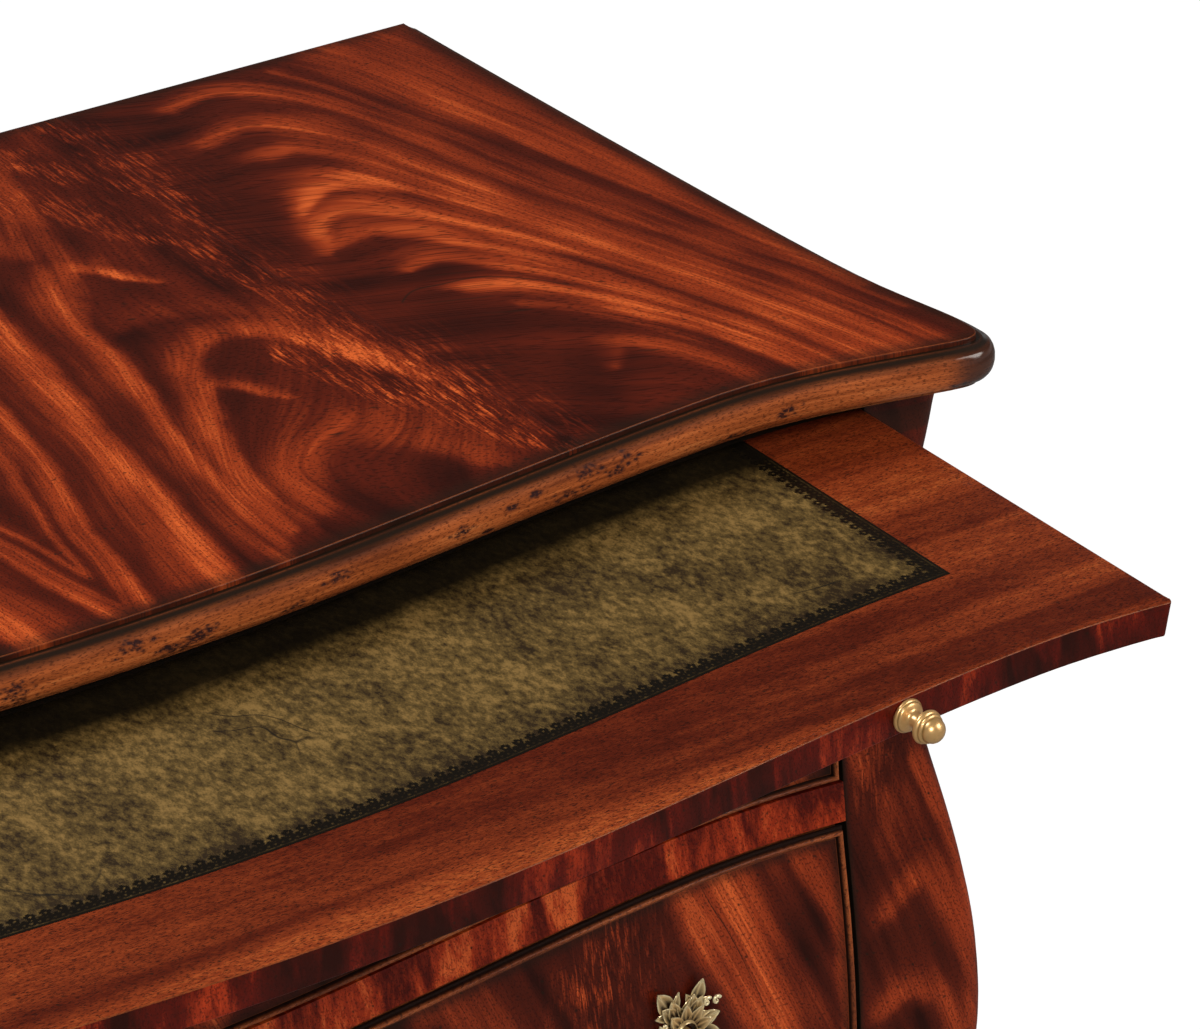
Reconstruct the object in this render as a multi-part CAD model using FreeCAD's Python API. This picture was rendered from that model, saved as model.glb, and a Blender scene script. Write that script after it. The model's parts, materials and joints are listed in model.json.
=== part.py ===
import FreeCAD, Part
import math
import os

# A bombe chest: a swelled mahogany case with a serpentine front, three drawers with
# brass bail handles, and a leather-lined brushing slide that draws out under the top.
# Millimetres. +Z is up, the front faces -Y, +X is the right-hand side.
# While it is built, y = 0 is the neck of the front beside the drawers, where the case
# is at its narrowest above the swell. The finished pieces are moved so that the origin
# is on the floor under the middle of the chest with its slide drawn out.

Vector = FreeCAD.Vector

# ---- Case -------------------------------------------------------------------------
HEIGHT = 860.0               # floor to the upper face of the top
CASE_DEPTH = 471.5           # neck of the front to the back
HALF_OPENING = 471.0         # middle of the front to the stiles' inner edge
STILE_WIDTH = 42.5           # stile's inner edge to the corner, at the neck
BACK_TAPER = 17.5            # how much nearer the middle a side is at the back than in front
BACK_SWELL = 0.5             # share of the corners' swell that the sides have at the back
CORNER_RADIUS = 16.0
SIDE_RECESS = 3.0            # flat inner face of the sides outside the stiles' inner edge
STILE_DEPTH = 40.0           # back of the stiles and rails, behind the neck
GLUE_LINE = 0.15             # between a moulding and what it is planted on

# Plan of the front: share of HALF_OPENING from the middle, set-back from the stile.
SERPENTINE = ((0.0, -17.7), (0.18, -15.3), (0.36, -8.6), (0.54, -0.8), (0.70, 4.9),
              (0.83, 6.8), (0.92, 4.7), (1.0, 0.0), (1.1, -7.5), (1.2, -13.5))
# Plan of a side: share of the depth behind the corner, share of the corner's flare.
FLARE = ((0.0, 1.0), (0.076, 0.87), (0.131, 0.64), (0.21, 0.42), (0.37, 0.26),
         (0.70, 0.09), (1.0, 0.0))
# Bombe swell: share of the height from the base line to the top, how far the front
# stands forward of the neck, how far the corner stands outside the neck.
SWELL = ((0.0, -10.5, -14.5), (0.057, -6.0, -10.5), (0.154, 5.5, 7.0), (0.265, 19.0, 27.5),
         (0.361, 27.0, 39.0), (0.431, 27.0, 41.8), (0.518, 20.3, 37.5), (0.614, 8.0, 25.0),
         (0.707, 0.5, 8.5), (0.804, 0.0, 0.0), (0.894, 6.0, 2.5), (1.0, 16.5, 10.5))

# ---- Top --------------------------------------------------------------------------
TOP_THICKNESS = 28.0
TOP_OVERHANG_FRONT = 14.5    # veneered field past the front of the case
TOP_OVERHANG_CORNER = 11.0   # further overhang that builds up towards the corners
TOP_OVERHANG_BACK = 10.0
TOP_OVERHANG_SIDE = 10.5     # corner of the field past the neck's corner
TOP_OVERHANG_SIDE_BACK = 4.5  # the same at the back
TOP_CORNER_RADIUS = 15.0
NOSE_REACH = 10.5            # the moulded nose past the veneered field
QUIRK_DROP = 3.0             # step from the field down to the moulding
NOSE_FOOT = 2.5              # small square under the nose

# ---- Levels -----------------------------------------------------------------------
BASE_BOTTOM = 84.5           # underside of the case, where the feet begin
BASE_RAIL = 24.0             # the swell ends at the top of the base rail
DRAWERS = 3
DRAWER_GRADUATION = 7.0      # each drawer is this much taller than the one above it
RAIL_THICKNESS = 24.0        # rails between the drawers
SLIDE_RAIL_THICKNESS = 21.0  # rail under the slide
SLIDE_THICKNESS = 19.0
SLIDE_CLEARANCE = 1.0        # under and over the slide, at the rails
TOP_RAIL_THICKNESS = 15.5

# ---- Brushing slide ---------------------------------------------------------------
SLIDE_OUT = 254.5            # how far it is drawn out
SLIDE_BACK_GAP = 46.0        # behind it when it is pushed in
SLIDE_SIDE_CLEARANCE = 1.0
SLIDE_LIPPING = 4.0          # cross-banded strip along the front edge
LEATHER_SIDE_MARGIN = 74.0
LEATHER_FRONT_MARGIN = 80.0
LEATHER_THICKNESS = 1.2
LEATHER_BACK_MARGIN = 60.0
BEARER_WIDTH = 34.0
BEARER_GAP = 0.3             # between the slide and its bearers
STOP_PIN_RADIUS = 4.0
STOP_PIN_INSET = 52.0        # from the slide's side edge
STOP_PIN_HEIGHT = 7.0
KNOB_X = 302.0
KNOB_RADIUS = 9.0
KNOB_REACH = 25.0
KNOB_SHANK_RADIUS = 2.5
KNOB_SHANK_LENGTH = 28.0

# ---- Drawers ----------------------------------------------------------------------
DRAWER_SIDE_GAP = 2.0
DRAWER_TOP_GAP = 3.0
DRAWER_BOTTOM_GAP = 1.5
DRAWER_RUN_GAP = 0.3         # between a drawer's sides and its runners
FRONT_THICKNESS = 22.0
BEAD_WIDTH = 4.5
BEAD_PROUD = 2.5
BEAD_DEPTH = 8.0             # set into the drawer front behind its face
QUIRK_WIDTH = 1.2            # groove between the bead and the face
DRAWER_BOARD = 11.0          # thickness of the sides and the back
DRAWER_BACK_GAP = 37.5       # behind a closed drawer
DRAWER_TOP_DROP = 12.0       # sides lower than the front
BOTTOM_BOARD = 6.0
BOTTOM_RAISE = 8.0           # underside of the drawer bottom above the sides' edge
GROOVE = 5.0                 # bottom board let into the sides and the front
DRAWER_TRAVEL = 350.0

# ---- Drawer handles ---------------------------------------------------------------
HANDLE_X = KNOB_X
POST_SPACING = 100.0
POST_RAISE = 12.0            # handle posts above the middle of the drawer
POST_RADIUS = 3.6
PIVOT_OUT = 14.0             # bail axis in front of the drawer's face
POST_HEAD_RADIUS = 6.5
BAIL_PIN_RADIUS = 2.2
BAIL_PIN_GAP = 0.08
BAIL_RADIUS = 3.2
BAIL_KNOP = 5.2              # radius and half length of the bead in the middle of the grip
BAIL_SHOULDER = 14.0         # bail's arm outside the post
BAIL_DROP = 38.0
BAIL_BEND = 22.0
BAIL_ELBOW = 6.0
ROSETTE_HALF_WIDTH = 22.0
ROSETTE_HALF_HEIGHT = 30.0
ROSETTE_THICKNESS = 3.0
ROSETTE_BOSS_RADIUS = 9.5
ROSETTE_BOSS = 6.0
ROSETTE_LEAVES = 11
NUT_SIZE = 13.0
NUT_THICKNESS = 4.0

# ---- Inside the case --------------------------------------------------------------
RUNNER_WIDTH = 43.0
GUIDE_GAP = 0.5
GUIDE_HEIGHT = 18.0
DUST_BOARD = 6.0
BACK_BOARD = 9.0
BACK_REBATE = 9.0
BOTTOM_THICKNESS = 20.0
STOP_BLOCK = (30.0, 16.0, 6.0)
STOP_BLOCK_X = 250.0
STOP_GAP = 0.3
SCREW_HEAD_RADIUS = 4.0
SCREW_SHANK_RADIUS = 1.8
SCREW_LENGTH = 25.0
SCREW_ROWS = 4
SCREW_END = 60.0             # first and last screw from the ends of the back panel

# ---- Base moulding and feet -------------------------------------------------------
BASE_MOULD_BELOW = 2.0       # top of the base moulding under the base line
BASE_MOULD_REACH = 12.0
BASE_CORNER_RADIUS = 8.0
FOOT_FRONT_WING = 150.0
FOOT_SIDE_WING = 125.0
FOOT_THICKNESS = 20.0
FOOT_REACH = 6.0             # top of a foot past the case
FOOT_TRIM = 3.0              # allowance cut off flat at a foot's top and bottom
FOOT_BLOCK = 45.0
FOOT_BLOCK_SHORT = 1.0       # glue blocks stop just above the floor

NECK_HALF_WIDTH = HALF_OPENING + STILE_WIDTH
BACK_HALF_WIDTH = NECK_HALF_WIDTH - BACK_TAPER
SIDE_INNER = HALF_OPENING + SIDE_RECESS
TOP_CORNER_HALF = NECK_HALF_WIDTH + TOP_OVERHANG_SIDE
TOP_BACK_HALF = BACK_HALF_WIDTH + TOP_OVERHANG_SIDE_BACK
BASE_LINE = BASE_BOTTOM + BASE_RAIL
TOP_UNDERSIDE = HEIGHT - TOP_THICKNESS
SLIDE_TOP = TOP_UNDERSIDE - TOP_RAIL_THICKNESS - SLIDE_CLEARANCE
SLIDE_BOTTOM = SLIDE_TOP - SLIDE_THICKNESS
SLIDE_RAIL_TOP = SLIDE_BOTTOM - SLIDE_CLEARANCE
SLIDE_RAIL_BOTTOM = SLIDE_RAIL_TOP - SLIDE_RAIL_THICKNESS
SLIDE_HALF = HALF_OPENING - SLIDE_SIDE_CLEARANCE
STOP_PIN_X = SLIDE_HALF - STOP_PIN_INSET
BACK_INNER = CASE_DEPTH - BACK_BOARD
TOP_BACK = CASE_DEPTH + TOP_OVERHANG_BACK
BEARER_INNER = SIDE_INNER - BEARER_WIDTH
RUNNER_INNER = SIDE_INNER - RUNNER_WIDTH
DRAWER_HALF = HALF_OPENING - DRAWER_SIDE_GAP
DRAWER_LENGTH = BACK_INNER - DRAWER_BACK_GAP
STEP = 0.5                   # small distance for measuring slopes
GRID_X = 20.0                # spacing of the points that shape the swelled surfaces
GRID_Z = 11.0


# ---- Curves of the case -----------------------------------------------------------
def curve(points, t, flat_start=False):
    """Value at t of a smooth curve through points, each (t, value), in rising order."""
    slopes = []
    for i in range(len(points)):
        before = points[max(i - 1, 0)]
        after = points[min(i + 1, len(points) - 1)]
        slopes.append((after[1] - before[1]) / (after[0] - before[0]))
    if flat_start:
        slopes[0] = 0.0
    i = 0
    while i < len(points) - 2 and t > points[i + 1][0]:
        i += 1
    span = points[i + 1][0] - points[i][0]
    s = (t - points[i][0]) / span
    low, high = points[i][1], points[i + 1][1]
    if s > 1.0:
        return high + slopes[i + 1] * (s - 1.0) * span
    rise = slopes[i] * span * (s - 2 * s ** 2 + s ** 3)
    fall = slopes[i + 1] * span * (s ** 3 - s ** 2)
    return low + (high - low) * (3 * s ** 2 - 2 * s ** 3) + rise + fall


def swell(z, column):
    """Forward (column 1) or sideways (column 2) swell at height z, constant in the base."""
    share = max(0.0, (z - BASE_LINE) / (TOP_UNDERSIDE - BASE_LINE))
    return curve([(row[0], row[column]) for row in SWELL], share, flat_start=True)


def front_y(x, z):
    return curve(SERPENTINE, abs(x) / HALF_OPENING, flat_start=True) - swell(z, 1)


def corner_x(z):
    return NECK_HALF_WIDTH + swell(z, 2)


def flared(y, corner, back):
    """Side line from the corner (x, y) back to (x, y), flaring out at the corner."""
    share = (y - corner[1]) / (back[1] - corner[1])
    return back[0] + (corner[0] - back[0]) * curve(FLARE, max(0.0, share), flat_start=True)


def side_x(y, z):
    corner = (corner_x(z), front_y(corner_x(z), z))
    back = (BACK_HALF_WIDTH + BACK_SWELL * swell(z, 2), CASE_DEPTH)
    return flared(y, corner, back)


def top_front_y(x):
    start = 0.77 * HALF_OPENING
    share = min(1.0, max(0.0, (abs(x) - start) / (TOP_CORNER_HALF - start)))
    corner = TOP_OVERHANG_CORNER * share ** 2 * (3 - 2 * share)
    return front_y(x, TOP_UNDERSIDE) - TOP_OVERHANG_FRONT - corner


def top_side_x(y):
    corner = (TOP_CORNER_HALF, top_front_y(TOP_CORNER_HALF))
    return flared(y, corner, (TOP_BACK_HALF, TOP_BACK))


def spread(low, high, count):
    return [low + (high - low) * i / (count - 1) for i in range(count)]


# ---- Building blocks --------------------------------------------------------------
def spline(points):
    line = Part.BSplineCurve()
    line.interpolate(points)
    return line.toShape()


def box(x, y, z):
    """A box from its three (low, high) ranges."""
    corner = Vector(x[0], y[0], z[0])
    return Part.makeBox(x[1] - x[0], y[1] - y[0], z[1] - z[0], corner)


def mirrored(shape):
    return shape.mirror(Vector(0, 0, 0), Vector(1, 0, 0))


def both_sides(shape):
    return Part.makeCompound([shape, mirrored(shape)])


def front_board(x, z, set_back, thickness):
    """A board that follows the swelled, serpentine front, between ranges of x and z."""
    columns = max(7, int((x[1] - x[0]) / GRID_X) | 1)
    rows = max(5, int((z[1] - z[0]) / GRID_Z))
    grid = [[Vector(u, front_y(u, v) + set_back, v) for v in spread(*z, rows)]
            for u in spread(*x, columns)]
    face = Part.BSplineSurface()
    face.interpolate(grid)
    return face.toShape().extrude(Vector(0, thickness, 0))


def cut_back(board, y):
    """The board, ended at a flat back face at y."""
    reach = 2 * HEIGHT
    return board.common(box((-reach, reach), (-reach, y), (-reach, reach)))


def outline(front, side, corner_half, radius, back):
    """Points of the right half of a plan, from the middle of the front to the back."""
    corner = Vector(corner_half, front(corner_half), 0)
    start = corner_half - radius
    end = corner.y + radius
    a = Vector(start, front(start), 0)
    b = Vector(side(end), end, 0)
    points = [Vector(x, front(x), 0) for x in spread(0.0, start, 27)[:-1]]
    for t in spread(0.0, 1.0, 9):
        points.append(a * (1 - t) ** 2 + corner * (2 * t * (1 - t)) + b * t ** 2)
    points += [Vector(side(y), y, 0) for y in spread(end, back, 17)[1:]]
    return points


def whole(points):
    """The whole plan line from its right half: left back, round the front, right back."""
    return [Vector(-p.x, p.y, 0) for p in reversed(points[1:])] + points


def moulding(points, edges):
    """A moulding along plan points. edges are lists of (outward, height) points."""
    sections = []
    for i, point in enumerate(points):
        along = points[min(i + 1, len(points) - 1)] - points[max(i - 1, 0)]
        out = Vector(along.y, -along.x, 0).normalize()
        parts = []
        for edge in edges:
            ends = [point + out * (d + GLUE_LINE) + Vector(0, 0, z) for d, z in edge]
            parts.append(spline(ends) if len(ends) > 2 else Part.makeLine(*ends))
        sections.append(Part.Wire(parts))
    return Part.makeLoft(sections, True, False)


def stile():
    """Right front corner of the case: the stile's face, rounded corner and side."""
    sections = []
    levels = [BASE_BOTTOM] + spread(BASE_LINE, TOP_UNDERSIDE, 19)
    for z in levels:
        xc = corner_x(z)
        corner = Vector(xc, front_y(xc, z), z)
        a_x = xc - CORNER_RADIUS
        b_y = corner.y + CORNER_RADIUS
        a = Vector(a_x, front_y(a_x, z), z)
        b = Vector(side_x(b_y, z), b_y, z)
        bend = Part.BezierCurve()
        bend.setPoles([a, corner, b])
        inner = Vector(HALF_OPENING, STILE_DEPTH, z)
        outer = Vector(side_x(STILE_DEPTH, z), STILE_DEPTH, z)
        face = [Vector(x, front_y(x, z), z) for x in spread(HALF_OPENING, a_x, 5)]
        flank = [Vector(side_x(y, z), y, z) for y in spread(b_y, STILE_DEPTH, 7)]
        sections.append(Part.Wire([
            spline(face), bend.toShape(), spline(flank),
            Part.makeLine(outer, inner), Part.makeLine(inner, face[0])]))
    return Part.makeLoft(sections, True, False)


def side():
    """Right side: swelled outside, flat inside, rebated for the back panel."""
    grid = [[Vector(side_x(y, z), y, z) for z in spread(BASE_BOTTOM, TOP_UNDERSIDE, 61)]
            for y in spread(STILE_DEPTH, CASE_DEPTH, 13)]
    skin = Part.BSplineSurface()
    skin.interpolate(grid)
    plank = skin.toShape().extrude(Vector(-NECK_HALF_WIDTH, 0, 0))
    reach = 2 * HEIGHT
    plank = plank.common(box((SIDE_INNER, reach), (-reach, reach), (0, reach)))
    rebate = box((0, SIDE_INNER + BACK_REBATE), (BACK_INNER, reach), (0, reach))
    return plank.cut(rebate)


# ---- Top --------------------------------------------------------------------------
def top_outline():
    return outline(top_front_y, top_side_x, TOP_CORNER_HALF, TOP_CORNER_RADIUS, TOP_BACK)


def top_panel():
    line = whole(top_outline())
    edge = spline([p + Vector(0, 0, TOP_UNDERSIDE) for p in line])
    ends = [edge.Vertexes[-1].Point, edge.Vertexes[0].Point]
    face = Part.Face(Part.Wire([edge, Part.makeLine(*ends)]))
    return face.extrude(Vector(0, 0, TOP_THICKNESS))


def top_moulding():
    top = HEIGHT - QUIRK_DROP
    low = TOP_UNDERSIDE
    reach = NOSE_REACH
    drop = top - low - NOSE_FOOT
    nose = [(0.55 * reach, top - 0.07 * drop), (0.8 * reach, top - 0.14 * drop),
            (0.96 * reach, top - 0.31 * drop), (reach, top - 0.51 * drop),
            (0.93 * reach, top - 0.71 * drop), (0.72 * reach, top - 0.89 * drop),
            (0.4 * reach, low + NOSE_FOOT)]
    foot = 0.17 * reach
    edges = [[(0, low), (0, top)], [(0, top), (0.3 * reach, top)],
             [(0.3 * reach, top), nose[0]], nose,
             [nose[-1], (foot, low + NOSE_FOOT)], [(foot, low + NOSE_FOOT), (foot, low)],
             [(foot, low), (0, low)]]
    return moulding(whole(top_outline()), edges)


# ---- Brushing slide ---------------------------------------------------------------
def slide_front_y(x):
    return front_y(x, SLIDE_TOP) - SLIDE_OUT


def plan_board(front, half, back, z, thickness):
    """A board with a shaped front edge, straight sides and a straight back."""
    line = spline([Vector(x, front(x), z) for x in spread(-half, half, 41)])
    corners = [Vector(half, front(half), z), Vector(half, back, z), Vector(-half, back, z),
               Vector(-half, front(-half), z)]
    sides = [Part.makeLine(a, b) for a, b in zip(corners, corners[1:])]
    face = Part.Face(Part.Wire([line] + sides))
    return face.extrude(Vector(0, 0, thickness))


def turned(profile, seat, outward):
    """A turned piece from (radius, distance) points, seated at a point, facing outward."""
    ring = [Vector(r, 0, d) for r, d in profile]
    face = Part.Face(Part.makePolygon(ring + ring[:1]))
    piece = face.revolve(Vector(0, 0, 0), Vector(0, 0, 1), 360)
    turn = FreeCAD.Rotation(Vector(0, 0, 1), outward)
    piece.Placement = FreeCAD.Placement(seat, turn)
    return piece


def slide_knob():
    r = KNOB_RADIUS
    reach = KNOB_REACH
    profile = [(0, -KNOB_SHANK_LENGTH), (KNOB_SHANK_RADIUS, -KNOB_SHANK_LENGTH),
               (KNOB_SHANK_RADIUS, 0), (r, 0), (r, 0.06 * reach), (0.84 * r, 0.12 * reach),
               (0.48 * r, 0.18 * reach), (0.42 * r, 0.36 * reach), (0.5 * r, 0.5 * reach),
               (0.86 * r, 0.56 * reach), (r, 0.62 * reach), (r, 0.7 * reach),
               (0.9 * r, 0.74 * reach), (0.86 * r, 0.78 * reach), (0.8 * r, 0.86 * reach),
               (0.58 * r, 0.94 * reach), (0.3 * r, 0.985 * reach), (0, reach)]
    slope = (slide_front_y(KNOB_X + STEP) - slide_front_y(KNOB_X - STEP)) / (2 * STEP)
    outward = Vector(slope, -1, 0).normalize()
    seat = Vector(KNOB_X, slide_front_y(KNOB_X), SLIDE_TOP - SLIDE_THICKNESS / 2)
    return turned(profile, seat, outward)


def stop_pin():
    y = STILE_DEPTH + STOP_GAP + STOP_PIN_RADIUS
    foot = SLIDE_TOP - SLIDE_THICKNESS / 2
    return Part.makeCylinder(STOP_PIN_RADIUS, SLIDE_TOP + STOP_PIN_HEIGHT - foot,
                             Vector(STOP_PIN_X, y, foot))


def slide():
    half = SLIDE_HALF
    back = BACK_INNER - SLIDE_BACK_GAP - SLIDE_OUT
    board = plan_board(lambda x: slide_front_y(x) + SLIDE_LIPPING, half, back,
                       SLIDE_BOTTOM, SLIDE_THICKNESS)
    whole_board = plan_board(slide_front_y, half, back, SLIDE_BOTTOM, SLIDE_THICKNESS)
    lipping = whole_board.cut(board)
    leather = plan_board(lambda x: slide_front_y(x) + LEATHER_FRONT_MARGIN,
                         half - LEATHER_SIDE_MARGIN, back - LEATHER_BACK_MARGIN,
                         SLIDE_TOP - LEATHER_THICKNESS, LEATHER_THICKNESS)
    knob = slide_knob()
    pins = both_sides(stop_pin())
    holes = both_sides(knob)
    return {"slide_board": board.cut(leather).cut(holes).cut(pins),
            "slide_lipping": lipping.cut(holes), "slide_leather": leather,
            "slide_knob_right": knob, "slide_knob_left": mirrored(knob),
            "slide_stop_pins": pins}


# ---- Drawer handles ---------------------------------------------------------------
def handle_place(x, z):
    """Where a handle sits: local +X along its posts, local -Y out of the drawer."""
    half = POST_SPACING / 2
    left = Vector(x - half, front_y(x - half, z), z)
    right = Vector(x + half, front_y(x + half, z), z)
    turn = math.degrees(math.atan2(right.y - left.y, right.x - left.x))
    return FreeCAD.Placement((left + right) * 0.5, FreeCAD.Rotation(Vector(0, 0, 1), turn))


def rosette():
    """A leafy plate in the XZ plane, its back at y = 0, its boss towards -Y."""
    points = []
    for i in range(2 * ROSETTE_LEAVES):
        angle = math.pi * i / ROSETTE_LEAVES + math.pi / 2
        reach = 1.0 if i % 2 == 0 else 0.74
        points.append(Vector(ROSETTE_HALF_WIDTH * reach * math.cos(angle), 0,
                             ROSETTE_HALF_HEIGHT * reach * math.sin(angle)))
    plate = Part.Face(Part.makePolygon(points + points[:1]))
    plate = plate.extrude(Vector(0, -ROSETTE_THICKNESS, 0))
    boss = Part.makeCylinder(ROSETTE_BOSS_RADIUS, ROSETTE_BOSS, Vector(0, 0, 0),
                             Vector(0, -1, 0))
    return plate.fuse(boss).removeSplitter()


def post():
    """A handle post with a pierced head, from behind the drawer front to the pivot."""
    shank = Part.makeCylinder(POST_RADIUS, PIVOT_OUT + post_tail(),
                              Vector(0, post_tail(), 0), Vector(0, -1, 0))
    head = Part.makeSphere(POST_HEAD_RADIUS, Vector(0, -PIVOT_OUT, 0))
    bore = Part.makeCylinder(BAIL_PIN_RADIUS + BAIL_PIN_GAP, 4 * POST_HEAD_RADIUS,
                             Vector(-2 * POST_HEAD_RADIUS, -PIVOT_OUT, 0), Vector(1, 0, 0))
    return shank.fuse(head).cut(bore)


def post_tail():
    """How far a post reaches behind the drawer's face."""
    return FRONT_THICKNESS + 2 * NUT_THICKNESS


def rod(start, end, radius):
    return Part.makeCylinder(radius, (end - start).Length, start, end - start)


def quarter_bend(start, heading, centre, radius):
    """A rod bent a quarter turn down and round, in the XZ plane."""
    ring = Part.Face(Part.Wire(Part.makeCircle(radius, start, heading)))
    return ring.revolve(centre, Vector(0, 1, 0), 90)


def bail():
    """A bail hanging in the XZ plane from pins on the X axis at y = -PIVOT_OUT."""
    half = POST_SPACING / 2
    start = Vector(half + POST_HEAD_RADIUS + 1.0, 0, 0)
    elbow = half + BAIL_SHOULDER
    turn_out = Vector(elbow - BAIL_ELBOW, 0, 0)
    arm_top = Vector(elbow, 0, -BAIL_ELBOW)
    arm_foot = Vector(elbow, 0, BAIL_BEND - BAIL_DROP)
    grip_end = Vector(elbow - BAIL_BEND, 0, -BAIL_DROP)
    across = Vector(1, 0, 0)
    arm = [rod(Vector(half - POST_HEAD_RADIUS, 0, 0), start, BAIL_PIN_RADIUS),
           rod(start, turn_out, BAIL_RADIUS),
           quarter_bend(turn_out, across, turn_out - Vector(0, 0, BAIL_ELBOW), BAIL_RADIUS),
           rod(arm_top, arm_foot, BAIL_RADIUS),
           quarter_bend(arm_foot, Vector(0, 0, -1), arm_foot - across * BAIL_BEND,
                        BAIL_RADIUS)]
    knop = [(BAIL_RADIUS, -BAIL_KNOP), (BAIL_KNOP, -0.4 * BAIL_KNOP),
            (BAIL_KNOP, 0.4 * BAIL_KNOP), (BAIL_RADIUS, BAIL_KNOP)]
    grip = turned([(0, -grip_end.x), (BAIL_RADIUS, -grip_end.x)] + knop
                  + [(BAIL_RADIUS, grip_end.x), (0, grip_end.x)],
                  Vector(0, 0, -BAIL_DROP), across)
    piece = grip.fuse(arm + [mirrored(link) for link in arm])
    piece.translate(Vector(0, -PIVOT_OUT, 0))
    return piece


def placed(shape, place):
    moved = shape.copy()
    moved.Placement = place.multiply(moved.Placement)
    return moved


def face_tilt(x, z):
    """Lean of the drawer's face at a point, in degrees about X."""
    slope = (front_y(x, z + STEP) - front_y(x, z - STEP)) / (2 * STEP)
    return -math.degrees(math.atan(slope))


# ---- Drawers ----------------------------------------------------------------------
def inset(low_high, amount):
    return (low_high[0] + amount, low_high[1] - amount)


def drawer(name, low, high):
    """The pieces of a drawer in an opening between two heights."""
    width = (-DRAWER_HALF, DRAWER_HALF)
    tall = (low + DRAWER_BOTTOM_GAP, high - DRAWER_TOP_GAP)
    through = (-HEIGHT, HEIGHT)
    inner = box(inset(width, BEAD_WIDTH), through, inset(tall, BEAD_WIDTH))
    field = box(inset(width, BEAD_WIDTH + QUIRK_WIDTH), through,
                inset(tall, BEAD_WIDTH + QUIRK_WIDTH))
    band = front_board(width, tall, -BEAD_PROUD, BEAD_PROUD + BEAD_DEPTH)
    bead = band.cut(inner)
    board = front_board(width, tall, 0, FRONT_THICKNESS)
    front = board.cut(band.cut(field))

    edge = low + DRAWER_RUN_GAP
    sides_z = (edge, tall[1] - DRAWER_TOP_DROP)
    floor_z = (edge + BOTTOM_RAISE, edge + BOTTOM_RAISE + BOTTOM_BOARD)
    side_width = (DRAWER_HALF - DRAWER_BOARD, DRAWER_HALF)
    plank = cut_back(front_board(side_width, (tall[0], sides_z[1]), FRONT_THICKNESS,
                                 CASE_DEPTH), DRAWER_LENGTH)
    back_y = DRAWER_LENGTH - DRAWER_BOARD
    strip = box(side_width, (STILE_DEPTH, DRAWER_LENGTH), (edge, tall[0]))
    plank = plank.fuse(strip).removeSplitter()
    floor_half = DRAWER_HALF - DRAWER_BOARD + GROOVE
    bottom = cut_back(front_board((-floor_half, floor_half), floor_z,
                                  FRONT_THICKNESS - GROOVE, CASE_DEPTH), back_y)
    back = box((-side_width[0], side_width[0]), (back_y, DRAWER_LENGTH),
               (floor_z[0], sides_z[1]))
    front = front.cut(bottom)
    sides = both_sides(plank.cut(bottom).cut(board))

    pivot_z = (low + high) / 2 + POST_RAISE
    plates, posts, bails = [], [], []
    for centre in (-HANDLE_X, HANDLE_X):
        place = handle_place(centre, pivot_z)
        bails.append(placed(bail(), place))
        for x in (-POST_SPACING / 2, POST_SPACING / 2):
            at = FreeCAD.Placement(Vector(x, 0, 0), FreeCAD.Rotation())
            tilt = FreeCAD.Rotation(Vector(1, 0, 0), face_tilt(centre + x, pivot_z))
            lean = FreeCAD.Placement(Vector(x, 0, 0), tilt)
            pin = placed(placed(post(), at), place)
            plate = placed(placed(rosette(), lean), place)
            hole = Part.makeCylinder(POST_RADIUS, 4 * PIVOT_OUT + post_tail(),
                                     Vector(0, post_tail(), 0), Vector(0, -1, 0))
            hole = placed(placed(hole, at), place)
            nut = box((-NUT_SIZE / 2, NUT_SIZE / 2),
                      (FRONT_THICKNESS - NUT_THICKNESS, FRONT_THICKNESS + NUT_THICKNESS),
                      (-NUT_SIZE / 2, NUT_SIZE / 2))
            nut = placed(placed(nut, at), place)
            plates.append(plate.cut(front).cut(hole))
            posts += [pin, nut.cut(front).cut(hole)]
            front = front.cut(hole)
    return {name + "_front": front, name + "_bead": bead, name + "_sides": sides,
            name + "_back": back, name + "_bottom": bottom,
            name + "_rosettes": Part.makeCompound(plates),
            name + "_posts": Part.makeCompound(posts),
            name + "_bail_left": bails[0], name + "_bail_right": bails[1]}


# ---- Inside the case --------------------------------------------------------------
def rail(low, high):
    return cut_back(front_board((-HALF_OPENING, HALF_OPENING), (low, high), 0,
                                2 * STILE_DEPTH), STILE_DEPTH)


def runners(levels):
    """Side strips that carry the drawers, level with each rail between drawers."""
    strips = [box((RUNNER_INNER, SIDE_INNER), (STILE_DEPTH, BACK_INNER),
                  (top - RAIL_THICKNESS, top)) for top in levels]
    return Part.makeCompound([both_sides(strip) for strip in strips])


def guides(levels):
    strips = [box((DRAWER_HALF + GUIDE_GAP, SIDE_INNER), (STILE_DEPTH, BACK_INNER),
                  (low, low + GUIDE_HEIGHT)) for low in levels]
    return Part.makeCompound([both_sides(strip) for strip in strips])


def dust_board(top):
    middle = top - RAIL_THICKNESS / 2
    return box((-RUNNER_INNER, RUNNER_INNER), (STILE_DEPTH, BACK_INNER),
               (middle - DUST_BOARD / 2, middle + DUST_BOARD / 2))


def drawer_stops(levels):
    """Small blocks on the rails that the closed drawer fronts come to rest against."""
    wide, deep, tall = STOP_BLOCK
    blocks = []
    for low in levels:
        face = max(front_y(x, z) for z in (low + DRAWER_BOTTOM_GAP, low + tall)
                   for x in (STOP_BLOCK_X - wide / 2, STOP_BLOCK_X + wide / 2))
        start = face + FRONT_THICKNESS + STOP_GAP
        blocks.append(both_sides(box((STOP_BLOCK_X - wide / 2, STOP_BLOCK_X + wide / 2),
                                     (start, start + deep), (low, low + tall))))
    return Part.makeCompound(blocks)


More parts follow.
